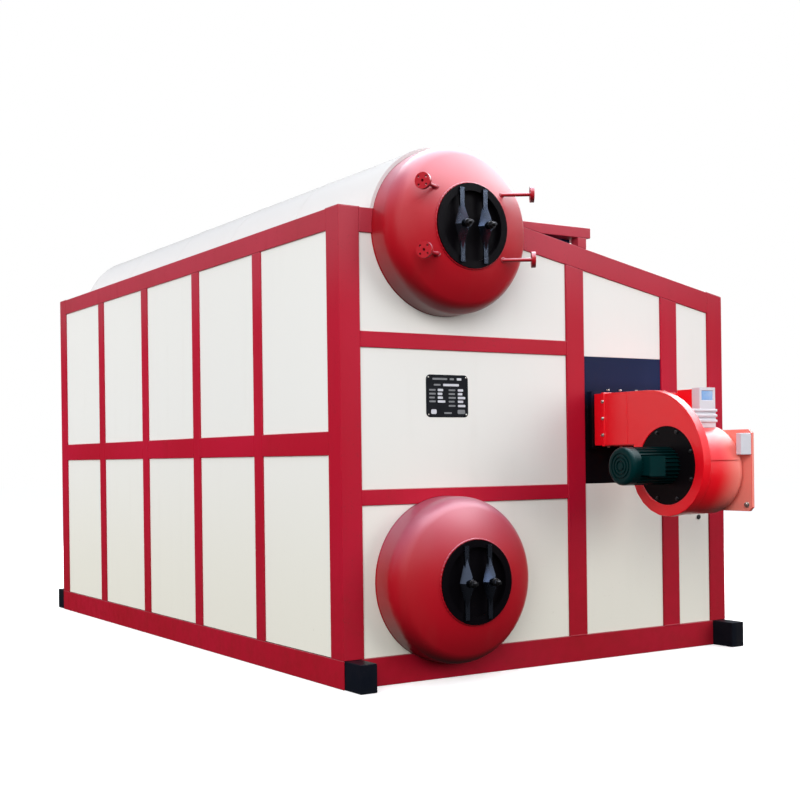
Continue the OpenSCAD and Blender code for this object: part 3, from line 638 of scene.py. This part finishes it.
class Stock:
    """Mesh under construction, in the part's frame.

    A bolt's lines are given for a head of radius 1, a bead's rise and pitch for a width of 1.
    """

    TIP = 0.00005
    SHARP = 35.0
    WASHER = ((1.20, 0.0), (1.25, 0.048), (1.25, 0.112), (1.20, 0.16))
    HEAD = ((0.16, 0.97), (0.20, 1.0), (0.78, 1.0), (0.88, 0.88))
    FACE = ((0.74, 0.86), (0.70, 0.91))
    BEAD_SIDES = 6
    BEAD_RISE = 0.42
    BEAD_PITCH = 0.35
    SEAM_WIDTH = 0.008
    RIPPLE = 0.16
    TAPER = 0.4

    def __init__(self) -> None:
        """Starts empty."""
        self.bm = bmesh.new()

    def stack(self, place: Matrix, rings: Sequence[Path], closed: bool = False) -> None:
        """Skins a row of rings with the same number of points.

        Args:
            place: Where the rings' own frame lies.
            rings: Points of each ring in its own frame.
            closed: Whether the last ring joins the first.
        """
        rows = [[self.bm.verts.new(place @ p) for p in ring] for ring in rings]
        pairs = list(zip(rows, rows[1:])) + ([(rows[-1], rows[0])] if closed else [])
        count = len(rows[0])
        for a, b in pairs:
            for i in range(count):
                j = (i + 1) % count
                self.bm.faces.new((a[i], a[j], b[j], b[i]))
        if not closed:
            self.bm.faces.new(list(reversed(rows[0])))
            self.bm.faces.new(rows[-1])

    def prism(self, place: Matrix, outline: Outline, levels: Outline) -> None:
        """Stacks one outline in layers, each with a height and a scale."""
        rings = [[Vector((x * k, y * k, h)) for x, y in outline] for h, k in levels]
        self.stack(place, rings)

    def turned(self, place: Matrix, line: Outline, steps: int = 24) -> None:
        """Turns a line about the place's Z.

        Args:
            place: Where the axis lies.
            line: Radius and height of each point.
            steps: Pieces around.
        """
        rings = []
        for radius, height in line:
            ring = polygon(steps, max(radius, self.TIP))
            rings.append([Vector((x, y, height)) for x, y in ring])
        self.stack(place, rings)

    def bolt(self, place: Matrix, across: float, turn: float = 0.0) -> None:
        """Hexagon bolt head with its washer, standing on its place.

        Args:
            place: Where it stands.
            across: Width of the head over its corners.
            turn: Angle of the hexagon.
        """
        r = across / 2
        self.turned(place, [(a * r, h * r) for a, h in self.WASHER], steps=20)
        self.prism(place, polygon(6, r, turn), [(h * r, k) for h, k in self.HEAD])
        self.turned(place, [(a * r, h * r) for a, h in self.FACE], steps=20)

    def bead(self, path: Path, ups: Path, width: float, loop: bool = False) -> None:
        """Rippled weld bead along a path.

        Args:
            path: Points along the joint, close together.
            ups: Direction away from the joint at each point.
            width: Width of the bead.
            loop: Whether the path closes.
        """
        rings = []
        last = len(path) - 1
        for i, (p, up) in enumerate(zip(path, ups)):
            a = path[i - 1] if i > 0 or loop else p
            b = path[(i + 1) % (last + 1)] if i < last or loop else p
            side = (b - a).cross(up).normalized()
            swell = 1.0 + self.RIPPLE * math.cos(i * math.pi / 2)
            if not loop and i in (0, last):
                swell *= self.TAPER
            ring = []
            for k in range(self.BEAD_SIDES + 1):
                angle = math.pi * k / self.BEAD_SIDES
                across = side * (math.cos(angle) * width / 2 * swell)
                ring.append(p + across + up * (math.sin(angle) * width * self.BEAD_RISE * swell))
            rings.append(ring)
        self.stack(PART, rings, loop)

    def seam(self, a: Vector, b: Vector, up: Vector) -> None:
        """Straight weld bead between two points.

        Args:
            a: First end.
            b: Last end.
            up: Direction away from the joint.
        """
        count = max(4, int((b - a).length / (self.SEAM_WIDTH * self.BEAD_PITCH)))
        path = [a.lerp(b, i / count) for i in range(count + 1)]
        self.bead(path, [up] * len(path), self.SEAM_WIDTH)

    def thing(self, name: str, material: Material) -> bpy.types.Object:
        """Makes an object of the mesh.

        Args:
            name: Name of the object.
            material: Its material.

        Returns:
            The new object.
        """
        bmesh.ops.recalc_face_normals(self.bm, faces=self.bm.faces[:])
        mesh = bpy.data.meshes.new(name)
        self.bm.to_mesh(mesh)
        self.bm.free()
        mesh.materials.append(material)
        mesh.shade_smooth()
        mesh.set_sharp_from_angle(angle=math.radians(self.SHARP))
        made = bpy.data.objects.new(name, mesh)
        bpy.context.scene.collection.objects.link(made)
        return made

    def finish(self, name: str, material: Material, slot: Slot) -> None:
        """Makes the piece and sets it on the part.

        Args:
            name: Name of the piece.
            material: Its material.
            slot: Slot of its finish; not used.
        """
        made = self.thing(name, material)
        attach(made, BODY)
        LOG.info("piece %s: %d faces", name, len(made.data.polygons))


@dataclass
class Assembly:
    """Sub-assembly that gives its solids their finishes and soft edges."""

    SAME_POINT = 0.00002
    FLAT_ANGLE = 0.5
    EDGE_ANGLE = 40.0
    EDGE_STEPS = 2
    FACE_WEIGHT = 50

    palette: Palette

    def coat(
        self, names: Iterable[str], slot: Slot, round_mm: float = 0.0, face: Material | None = None
    ) -> None:
        """Dresses solids in one finish.

        Args:
            names: Names of the solids.
            slot: Their finish.
            round_mm: Width of the worn round on their edges, or 0 for none.
            face: Material of the faces in place of the finish's own.
        """
        own = self.palette.face[slot]
        for name in names:
            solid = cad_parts[name]
            solid.data.materials.clear()
            solid.data.materials.append(face or own)
            solid.data.materials.append(self.palette.edge.get(slot, own))
            if round_mm:
                self.soften(solid, round_mm / 1000)
            LOG.info("solid %s: %s", name, slot.value)

    def soften(self, solid: bpy.types.Object, width: float) -> None:
        """Rounds the edges of a solid by modifiers.

        Args:
            solid: The solid.
            width: Width of the round in metres.
        """
        weld = solid.modifiers.new("weld", "WELD")
        weld.merge_threshold = self.SAME_POINT
        flat = solid.modifiers.new("flat", "DECIMATE")
        flat.decimate_type = "DISSOLVE"
        flat.angle_limit = math.radians(self.FLAT_ANGLE)
        edge = solid.modifiers.new("edge", "BEVEL")
        edge.width = width
        edge.segments = self.EDGE_STEPS
        edge.limit_method = "ANGLE"
        edge.angle_limit = math.radians(self.EDGE_ANGLE)
        edge.material = 1
        edge.use_clamp_overlap = True
        even = solid.modifiers.new("even", "WEIGHTED_NORMAL")
        even.weight = self.FACE_WEIGHT
        even.keep_sharp = False


@dataclass
class Casing(Assembly):
    """Base, frame, panels and roof, with their welds, caps, strips and plug."""

    FRAMEWORK = (
        "base_end_beams", "base_side_skirts", "base_cross_beams", "floor_plate", "corner_posts",
        "front_posts", "rear_posts", "front_cross_beams", "rear_cross_beams", "front_top_beam",
        "rear_top_beam", "side_posts", "side_mid_beams", "side_top_beams",
    )
    PANELS = (
        "front_upper_panel", "front_middle_panel", "front_lower_panel", "burner_bay_panels",
        "front_right_panel", "left_panels", "right_panels", "rear_panels",
    )
    ROOF = ("roof_left_strip", "roof_slope_front", "roof_slope_rear")

    width: float = 3.110
    length: float = 5.110
    corner: Pair = (0.140, 0.150)
    beam_ends: Pair = (0.140, 1.693)
    posts: tuple[Pair, ...] = ((1.693, 1.840), (2.525, 2.672))
    beams: tuple[Pair, ...] = ((1.060, 1.152), (1.985, 2.079))
    base_top: float = 0.168
    recess: float = 0.012
    plug_at: Pair = (2.870, 0.899)
    plug_line: Outline = (
        (0.015, 0.0), (0.0165, 0.002), (0.0165, 0.006), (0.014, 0.009), (0.006, 0.010),
        (0.0, 0.010),
    )
    strip_ys: tuple[float, ...] = (1.0775, 2.0625, 3.0475, 4.0325)
    strip_from: float = 1.262
    strip_to: float = 3.004
    strip_t: float = 0.004
    strip_line: Outline = ((-0.030, 0.0), (-0.027, 1.0), (0.027, 1.0), (0.030, 0.0))
    screws: int = 7
    screw_margin: float = 0.10
    screw_line: Outline = (
        (0.0085, 0.0), (0.0085, 0.0012), (0.0055, 0.0014), (0.0050, 0.0040), (0.0, 0.0046),
    )
    ridge: Pair = (1.285, 2.800)
    fall: float = 0.36 / 1.825
    cap_inset: float = 0.002
    cap_lap: float = 0.006
    cap_line: Outline = ((0.0, -0.002), (0.0, 0.0025), (0.0008, 0.0035))

    def point(self, x: float, y: float, z: float) -> Vector:
        """Point from the casing's front left corner, in the part's frame."""
        return Vector((x - self.width / 2, y - self.length / 2, z))

    def roof(self, x: float) -> float:
        """Height of the roof at a distance from the casing's left side."""
        return self.ridge[1] - self.fall * max(0.0, x - self.ridge[0])

    def dress(self) -> None:
        """Gives the casing's solids their finishes."""
        self.coat(["skid_rails"], Slot.SKID, 5.0)
        self.coat(self.FRAMEWORK, Slot.FRAME, 4.0)
        self.coat(self.PANELS, Slot.PANEL, 3.0)
        self.coat(self.ROOF, Slot.PANEL, 3.0, self.palette.roof)

    def build(self) -> None:
        """Makes the welds, caps, roof strips and plug."""
        self.welds()
        self.caps()
        self.strips()
        self.plug()

    def welds(self) -> None:
        """Weld beads where the beams meet the posts and the posts meet the base."""
        welds = Stock()
        for y, up in ((0.0, FRONT), (self.length, BACK)):
            for x in self.beam_ends:
                for z0, z1 in self.beams:
                    welds.seam(self.point(x, y, z0), self.point(x, y, z1), up)
            for post in self.posts:
                left, right = (self.point(x, y, self.base_top) for x in post)
                welds.seam(left, right, up)
        welds.finish("frame_welds", self.palette.face[Slot.FRAME], Slot.FRAME)

    def caps(self) -> None:
        """Plates that close the tops of the corner posts."""
        caps = Stock()
        wide, deep = (side + self.cap_lap for side in self.corner)
        edge = self.cap_inset
        for x0, x1 in ((edge, wide), (self.width - wide, self.width - edge)):
            for y0, y1 in ((edge, deep), (self.length - deep, self.length - edge)):
                rings = []
                for inset, lift in self.cap_line:
                    xs, ys = (x0 + inset, x1 - inset), (y0 + inset, y1 - inset)
                    corners = ((xs[0], ys[0]), (xs[1], ys[0]), (xs[1], ys[1]), (xs[0], ys[1]))
                    rings.append([self.point(x, y, self.roof(x) + lift) for x, y in corners])
                caps.stack(PART, rings)
        caps.finish("corner_caps", self.palette.face[Slot.FRAME], Slot.FRAME)

    def strips(self) -> None:
        """Strips with screws over the joints of the roof's sheets."""
        strips, screws = Stock(), Stock()
        ridge_x = self.ridge[0]
        slope = Vector((self.fall, 0.0, 1.0)).normalized()
        thick = slope * self.strip_t
        first = ridge_x + self.screw_margin
        pitch = (self.strip_to - ridge_x - 2 * self.screw_margin) / (self.screws - 1)
        for y in self.strip_ys:
            rings = []
            for x in (self.strip_from, ridge_x, (ridge_x + self.strip_to) / 2, self.strip_to):
                spot = self.point(x, y, self.roof(x))
                rings.append([spot + BACK * dy + thick * k for dy, k in self.strip_line])
            strips.stack(PART, rings)
            for i in range(self.screws):
                x = first + i * pitch
                spot = self.point(x, y, self.roof(x)) + thick
                screws.turned(facing(spot, slope), self.screw_line, steps=16)
        strips.finish("roof_strips", self.palette.face[Slot.LAGGING], Slot.PANEL)
        screws.finish("roof_screws", self.palette.zinc, Slot.BOX)

    def plug(self) -> None:
        """Plug in the right front panel."""
        plug = Stock()
        x, z = self.plug_at
        plug.turned(facing(self.point(x, self.recess, z), FRONT), self.plug_line)
        plug.finish("panel_plug", self.palette.rubber, Slot.MANHOLE)


@dataclass
class Nameplate(Assembly):
    """Bare plate on the middle panel: a black sheet with blank pale fields.

    A mark has a left end, a right end, a middle from the top and a height, as shares of the plate.
    """

    casing: Casing
    sides: Pair = (0.601, 0.910)
    ends: Pair = (1.579, 1.837)
    thick: float = 0.003
    radius: float = 0.028
    levels: Outline = ((0.0, 1.0), (0.0021, 1.0), (0.003, 0.994))
    mark_round: float = 0.3
    mark_levels: Outline = ((0.0, 1.0), (0.0006, 0.99))
    rivet_inset: float = 0.016
    rivet_line: Outline = ((0.0050, 0.0), (0.0048, 0.0012), (0.0034, 0.0024), (0.0, 0.0029))
    fields: tuple[Mark, ...] = (
        (0.40, 0.78, 0.24, 0.055), (0.27, 0.40, 0.36, 0.055), (0.27, 0.38, 0.45, 0.055),
        (0.27, 0.39, 0.54, 0.055), (0.27, 0.45, 0.63, 0.055), (0.75, 0.88, 0.36, 0.055),
        (0.75, 0.86, 0.45, 0.055), (0.75, 0.93, 0.54, 0.055), (0.75, 0.88, 0.63, 0.055),
        (0.75, 0.93, 0.73, 0.055), (0.73, 0.84, 0.10, 0.055), (0.11, 0.24, 0.87, 0.110),
    )
    labels: tuple[Mark, ...] = (
        (0.15, 0.50, 0.10, 0.045), (0.56, 0.66, 0.10, 0.045), (0.18, 0.34, 0.24, 0.040),
        (0.07, 0.22, 0.36, 0.040), (0.07, 0.22, 0.45, 0.040), (0.07, 0.20, 0.54, 0.040),
        (0.07, 0.22, 0.63, 0.040), (0.53, 0.69, 0.36, 0.040), (0.53, 0.68, 0.45, 0.040),
        (0.53, 0.70, 0.54, 0.040), (0.53, 0.67, 0.63, 0.040), (0.53, 0.69, 0.73, 0.040),
        (0.42, 0.60, 0.90, 0.040), (0.74, 0.92, 0.87, 0.100),
    )

    def build(self) -> None:
        """Makes the plate, its fields and its rivets."""
        x, z = sum(self.sides) / 2, sum(self.ends) / 2
        place = facing(self.casing.point(x, self.casing.recess, z), FRONT)
        w, h = (high - low for low, high in (self.sides, self.ends))
        plate = Stock()
        plate.prism(place, rounded(w, h, self.radius), self.levels)
        plate.finish("nameplate", self.palette.sign, Slot.MANHOLE)
        for name, marks, ink, slot in (
            ("nameplate_fields", self.fields, self.palette.field, Slot.BOX),
            ("nameplate_labels", self.labels, self.palette.label, Slot.MANHOLE),
        ):
            stock = Stock()
            for x0, x1, y, share in marks:
                at = Vector((((x0 + x1) / 2 - 0.5) * w, (0.5 - y) * h, self.thick))
                tall = share * h
                outline = rounded((x1 - x0) * w, tall, tall * self.mark_round, steps=3)
                stock.prism(place @ Matrix.Translation(at), outline, self.mark_levels)
            stock.finish(name, ink, slot)
        rivets = Stock()
        x, y = w / 2 - self.rivet_inset, h / 2 - self.rivet_inset
        for sx in (-1, 1):
            for sy in (-1, 1):
                spot = place @ Matrix.Translation((sx * x, sy * y, self.thick))
                rivets.turned(spot, self.rivet_line, steps=16)
        rivets.finish("nameplate_rivets", self.palette.zinc, Slot.BOX)


@dataclass(frozen=True)
class Weld:
    """Round weld: gap to the piece, width, lean, pieces around and stretch sideways."""

    gap: float
    width: float
    lean: float
    steps: int
    stretch: float = 1.0


@dataclass
class Drums(Assembly):
    """Both drums with their lagging, manholes and level nozzles."""

    casing: Casing
    axis_x: float = 0.728
    upper_z: float = 2.689
    lower_z: float = 0.602
    start: float = 0.115
    crown: float = 0.900
    knuckle: float = 0.130
    radius: float = 0.500
    lagging_r: float = 0.5203
    lagging_from: float = 0.005
    lagging_end: float = 0.100
    ring_r: float = 0.250
    ring_proud: float = 0.014
    ring_weld: Weld = Weld(0.003, 0.012, 1.4, 240)
    yoke_rise: float = 0.064
    yoke_pitch: float = 0.166
    washer_line: Outline = ((0.023, 0.0), (0.024, 0.001), (0.024, 0.004), (0.023, 0.005))
    nut_r: float = 0.0208
    nut_turn: float = 0.26
    nut_levels: Outline = ((0.005, 0.92), (0.007, 1.0), (0.022, 1.0), (0.025, 0.90))
    stud_r: float = 0.0112
    stud_core: float = 0.0100
    stud_from: float = 0.0255
    stud_ends: Spot = (-0.02, 0.0475, 0.0480)
    threads: int = 14
    thread: float = 0.0015
    nozzle_x: float = 0.238
    nozzle_ups: Pair = (0.210, -0.181)
    nozzle_pipe: float = 0.022
    root_weld: Weld = Weld(0.002, 0.009, 1.6, 64, 1.4)
    bands_count: int = 6
    band_w: float = 0.040
    band_steps: int = 72
    band_lift: float = 0.002
    band_line: Outline = ((0.0, 0.0), (0.002, 0.0022), (0.038, 0.0022), (0.040, 0.0))

    def bulge(self, rim: float) -> float:
        """Depth of the head's crown at a distance from the axis."""
        drop = math.sqrt((self.crown - self.knuckle) ** 2 - (self.radius - self.knuckle) ** 2)
        return math.sqrt(self.crown**2 - rim**2) - drop

    def front(self, x: float, up: float, z: float, depth: float) -> Vector:
        """Point in front of a head: sideways, up and along its axis."""
        return self.casing.point(self.axis_x + x, -self.start - depth, z + up)

    def dress(self) -> None:
        """Gives the drums' solids their finishes."""
        self.coat(["upper_front_head", "lower_front_head", "rear_heads"], Slot.DRUM)
        self.coat(["level_nozzles"], Slot.DRUM)
        self.coat(["upper_drum_shell", "lower_drum_shell"], Slot.DRUM, 0.0, self.palette.shell)
        self.coat(["upper_lagging"], Slot.LAGGING)
        self.coat(["manhole_rings", "manhole_covers"], Slot.MANHOLE)
        self.coat(["manhole_yokes"], Slot.MANHOLE, 0.0, self.palette.yoke)

    def build(self) -> None:
        """Makes the welds, studs and lagging bands."""
        self.welds()
        self.studs()
        self.bands()

    def welds(self) -> None:
        """Weld beads around the manhole rings and the nozzles' roots."""
        beads = Stock()
        for z in (self.upper_z, self.lower_z):
            self.ring(beads, (0.0, 0.0, z), self.ring_r, self.ring_weld)
        for side in (-1, 1):
            for up in self.nozzle_ups:
                middle = (side * self.nozzle_x, up, self.upper_z)
                self.ring(beads, middle, self.nozzle_pipe / 2, self.root_weld)
        beads.finish("head_welds", self.palette.face[Slot.DRUM], Slot.DRUM)

    def ring(self, beads: Stock, middle: Spot, radius: float, weld: Weld) -> None:
        """Weld bead around a round piece on a front head.

        Args:
            beads: Mesh that takes the bead.
            middle: Sideways, up and height of the head's axis.
            radius: Radius of the piece.
            weld: What the bead is like.
        """
        path, ups = [], []
        r = radius + weld.gap
        for i in range(weld.steps):
            a = 2 * math.pi * i / weld.steps
            x = middle[0] + r * math.cos(a) * weld.stretch
            h = middle[1] + r * math.sin(a)
            path.append(self.front(x, h, middle[2], self.bulge(math.hypot(x, h))))
            ups.append(Vector((math.cos(a), -weld.lean, math.sin(a))).normalized())
        beads.bead(path, ups, weld.width, True)

    def studs(self) -> None:
        """Stud, washer and nut at the middle of each yoke."""
        nuts, studs = Stock(), Stock()
        face = self.bulge(self.ring_r) + self.ring_proud + self.yoke_rise
        root, shoulder, tip = self.stud_ends
        line = [(self.stud_r, root)]
        for i in range(self.threads):
            h = self.stud_from + self.thread * i
            line += [(self.stud_r, h), (self.stud_core, h + self.thread / 2)]
        line += [(self.stud_core, shoulder), (0.0, tip)]
        for z in (self.upper_z, self.lower_z):
            for side in (-1, 1):
                at = self.front(side * self.yoke_pitch / 2, 0.0, z, face)
                place = facing(at, FRONT)
                nuts.turned(place, self.washer_line, steps=28)
                nuts.prism(place, polygon(6, self.nut_r, self.nut_turn), self.nut_levels)
                studs.turned(place, line, steps=20)
        nuts.finish("yoke_nuts", self.palette.steel, Slot.MANHOLE)
        studs.finish("yoke_studs", self.palette.steel, Slot.MANHOLE)

    def bands(self) -> None:
        """Bands over the joints of the upper drum's lagging."""
        bands = Stock()
        run = self.casing.length - self.lagging_end - self.lagging_from - self.band_w
        low = math.asin((self.casing.ridge[1] + self.band_lift - self.upper_z) / self.lagging_r)
        for i in range(self.bands_count):
            y = self.lagging_from + run * i / (self.bands_count - 1)
            rings = []
            for k in range(self.band_steps + 1):
                a = low + (math.pi - 2 * low) * k / self.band_steps
                ray = Vector((math.cos(a), 0, math.sin(a)))
                ring = []
                for dy, lift in self.band_line:
                    spot = self.casing.point(self.axis_x, y + dy, self.upper_z)
                    ring.append(spot + ray * (self.lagging_r + lift))
                rings.append(ring)
            bands.stack(PART, rings)
        bands.finish("lagging_bands", self.palette.face[Slot.LAGGING], Slot.LAGGING)


@dataclass
class Flue(Assembly):
    """Flue outlet on the roof."""

    def dress(self) -> None:
        """Gives the flue's solids their finishes."""
        self.coat(["flue_flange", "flue_legs"], Slot.FRAME, 4.0)
        # The neck's dark plate paint also stands in for the shade in the gap under the flange.
        self.coat(["flue_neck"], Slot.PLATE, 2.0)


@dataclass
class Burner(Assembly):
    """Fan burner on its plate, with its bolts and window."""

    casing: Casing
    joint_out: float = 0.118
    joint_bolt: float = 0.020
    joint_heights: tuple[float, ...] = (0.2, 0.5, 0.8)
    joint_widths: tuple[float, ...] = (0.08, 0.26, 0.5, 0.74, 0.92)
    end_bolt: float = 0.030
    end_turn: float = 0.3
    end_inset: float = 0.040
    plate_bolt: float = 0.022
    plate_inset: float = 0.022
    plate_count: int = 8
    pane_margin: float = 0.020
    pane_gap: float = 0.002
    pane_share: float = 0.42
    pane_sunk: float = 0.008
    pane_round: float = 0.006
    pane_levels: Outline = ((0.0, 1.0), (0.003, 1.0), (0.004, 0.985))

    def dress(self) -> None:
        """Gives the burner's solids their finishes."""
        self.coat(["burner_plate"], Slot.PLATE, 3.0)
        self.coat(["burner_neck", "burner_volute"], Slot.BURNER, 4.0)
        # Inlet drum and end plate carry the painted reflection on their right part.
        self.coat(["inlet_drum"], Slot.BURNER, 0.0, self.palette.burner_reflection)
        self.coat(["end_plate"], Slot.BURNER, 4.0, self.palette.burner_reflection)
        self.coat(["motor_plate"], Slot.MANHOLE)
        self.coat(["burner_motor"], Slot.MOTOR)
        self.coat(["air_damper", "control_box"], Slot.BOX, 4.0)

    def build(self) -> None:
        """Makes the bolts and the window."""
        self.joint_bolts()
        self.plate_bolts()
        self.window()

    def joint_bolts(self) -> None:
        """Bolts around the neck's joint and on the end plate's corners."""
        bolts = Stock()
        low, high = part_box("burner_neck")
        y = -self.casing.length / 2 - self.joint_out
        for share in self.joint_heights:
            z = low.z + (high.z - low.z) * share
            for x, out in ((low.x, LEFT), (high.x, RIGHT)):
                bolts.bolt(facing(Vector((x, y, z)), out), self.joint_bolt)
        for share in self.joint_widths:
            x = low.x + (high.x - low.x) * share
            for z, out in ((high.z, UP), (low.z, DOWN)):
                bolts.bolt(facing(Vector((x, y, z)), out), self.joint_bolt)
        low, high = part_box("end_plate")
        for y in (low.y + self.end_inset, high.y - self.end_inset):
            for z in (low.z + self.end_inset, high.z - self.end_inset):
                for x, out in ((low.x, LEFT), (high.x, RIGHT)):
                    bolts.bolt(facing(Vector((x, y, z)), out), self.end_bolt, self.end_turn)
        bolts.finish("burner_bolts", self.palette.zinc, Slot.BOX)

    def plate_bolts(self) -> None:
        """Bolts around the motor plate."""
        bolts = Stock()
        low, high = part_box("motor_plate")
        middle = (low + high) / 2
        reach = (high.z - low.z) / 2 - self.plate_inset
        for i in range(self.plate_count):
            a = 2 * math.pi * (i + 0.5) / self.plate_count
            at = Vector((low.x, middle.y + reach * math.cos(a), middle.z + reach * math.sin(a)))
            bolts.bolt(facing(at, LEFT), self.plate_bolt, a)
        bolts.finish("motor_plate_bolts", self.palette.steel, Slot.MANHOLE)

    def window(self) -> None:
        """Pane sunk into the control box's front."""
        low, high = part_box("control_box")
        wide = high.x - low.x - 2 * (self.pane_margin + self.pane_gap)
        tall = (high.z - low.z) * self.pane_share - 2 * self.pane_gap
        z = high.z - self.pane_margin - tall / 2 - self.pane_gap
        at = Vector(((low.x + high.x) / 2, low.y + self.pane_sunk, z))
        outline = rounded(wide, tall, self.pane_round, steps=4)
        pane = Stock()
        pane.prism(facing(at, FRONT), outline, self.pane_levels)
        pane.finish("control_window", self.palette.window, Slot.BOX)


class Light(Enum):
    """Tint by what a soft box does: it shapes the forms or draws the sheen on gloss paint."""

    FORM = (1.0, 0.98, 0.94)
    SHEEN = (0.93, 0.96, 1.0)


@dataclass(frozen=True)
class Lamp:
    """Soft box: where it hangs, what it points at, its size in metres and its watts."""

    name: str
    at: Spot
    to: Spot
    size: Pair
    power: float
    kind: Light


@dataclass
class Studio:
    """Pale floor, soft light and the camera."""

    eye: Spot = (-5.2140, -8.9225, 1.3317)
    yaw: float = 32.53
    roll: float = -0.74
    lens: float = 57.375
    sensor: float = 36.0
    rise: float = 0.07325
    far: float = 300.0
    floor_line: Outline = ((60.0, -0.004), (60.0, -0.002), (0.0, -0.002))
    sky_span: Pair = (0.0, 0.55)
    sky_low: Colour = (0.035, 0.034, 0.034)
    sky_high: Colour = (0.72, 0.77, 0.86)
    sky_seen: Colour = (1.0, 1.0, 1.0)
    lamps: tuple[Lamp, ...] = (
        Lamp("front_box", (-7.0, -9.8, 5.0), (0.0, -2.0, 1.4), (8.0, 6.0), 740.0, Light.FORM),
        Lamp("fill_box", (6.0, -10.5, 3.2), (0.5, -2.5, 1.0), (6.0, 5.0), 420.0, Light.FORM),
        Lamp("left_box", (-11.0, 4.5, 3.0), (-1.5, 2.0, 1.1), (7.0, 4.0), 720.0, Light.FORM),
        Lamp("right_box", (10.0, 0.0, 4.0), (1.5, 0.0, 1.3), (7.0, 4.0), 640.0, Light.FORM),
        Lamp("back_box", (0.0, 11.5, 4.5), (0.0, 2.5, 1.4), (6.0, 4.0), 760.0, Light.FORM),
        Lamp("sheen_box", (1.0, -3.0, 7.0), (-0.8, -2.6, 1.6), (11.0, 9.0), 2600.0, Light.SHEEN),
    )

    def build(self) -> None:
        """Makes the floor, the light and the camera."""
        self.floor()
        self.sky()
        for lamp in self.lamps:
            self.hang(lamp)
        self.camera()

    def floor(self) -> None:
        """Round pale floor."""
        stock = Stock()
        stock.turned(PART, self.floor_line, steps=96)
        made = stock.thing("studio_floor", FloorPaint("floor_pale").material())
        made.visible_diffuse = False
        made.visible_glossy = False

    def sky(self) -> None:
        """Pale surroundings above the floor and dim ones below it, seen as white."""
        world = bpy.data.worlds.new("studio")
        bpy.context.scene.world = world
        sheet = Sheet(world)
        way = sheet.node("ShaderNodeTexCoord").outputs["Generated"]
        up = sheet.along(way, Axis.Z).ramp(self.sky_span)
        tone = sheet.mix(up, self.sky_low, self.sky_high)
        seen = Value(sheet, sheet.node("ShaderNodeLightPath").outputs["Is Camera Ray"])
        tone = sheet.mix(seen, tone, self.sky_seen)
        light = sheet.node("ShaderNodeBackground", None, {"Color": tone, "Strength": 1.0})
        sheet.node("ShaderNodeOutputWorld", None, {"Surface": light.outputs[0]})

    @staticmethod
    def hang(lamp: Lamp) -> None:
        """Hangs a soft box.

        Args:
            lamp: The soft box.
        """
        light = bpy.data.lights.new(lamp.name, "AREA")
        light.shape = "RECTANGLE"
        light.size, light.size_y = lamp.size
        light.energy = lamp.power
        light.color = lamp.kind.value
        made = bpy.data.objects.new(lamp.name, light)
        made.location = lamp.at
        aim = Vector(lamp.to) - Vector(lamp.at)
        made.rotation_euler = aim.to_track_quat("-Z", "Y").to_euler()
        made.visible_camera = False
        made.visible_diffuse = lamp.kind is Light.FORM
        made.visible_glossy = lamp.kind is Light.SHEEN
        bpy.context.scene.collection.objects.link(made)

    def camera(self) -> None:
        """Level camera at the photograph's view."""
        data = bpy.data.cameras.new("photo_view")
        data.lens = self.lens
        data.sensor_width = self.sensor
        data.shift_y = self.rise
        data.clip_end = self.far
        made = bpy.data.objects.new("photo_view", data)
        made.matrix_world = Matrix.Translation(self.eye)
        for angle, axis in ((-self.yaw, "Z"), (90.0, "X"), (self.roll, "Z")):
            made.matrix_world @= Matrix.Rotation(math.radians(angle), 4, axis)
        bpy.context.scene.collection.objects.link(made)
        bpy.context.scene.camera = made


def main() -> None:
    """Builds the sub-assemblies in order."""
    logging.basicConfig(level=logging.INFO, format="%(name)s: %(message)s")
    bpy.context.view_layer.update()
    palette = Palette()
    casing = Casing(palette)
    drums, burner = Drums(palette, casing), Burner(palette, casing)
    for assembly in (casing, drums, Flue(palette), burner):
        assembly.dress()
    for assembly in (casing, Nameplate(palette, casing), drums, burner):
        assembly.build()
    Studio().build()
    bpy.context.scene.view_settings.view_transform = "Standard"


if __name__ == "__main__":
    main()
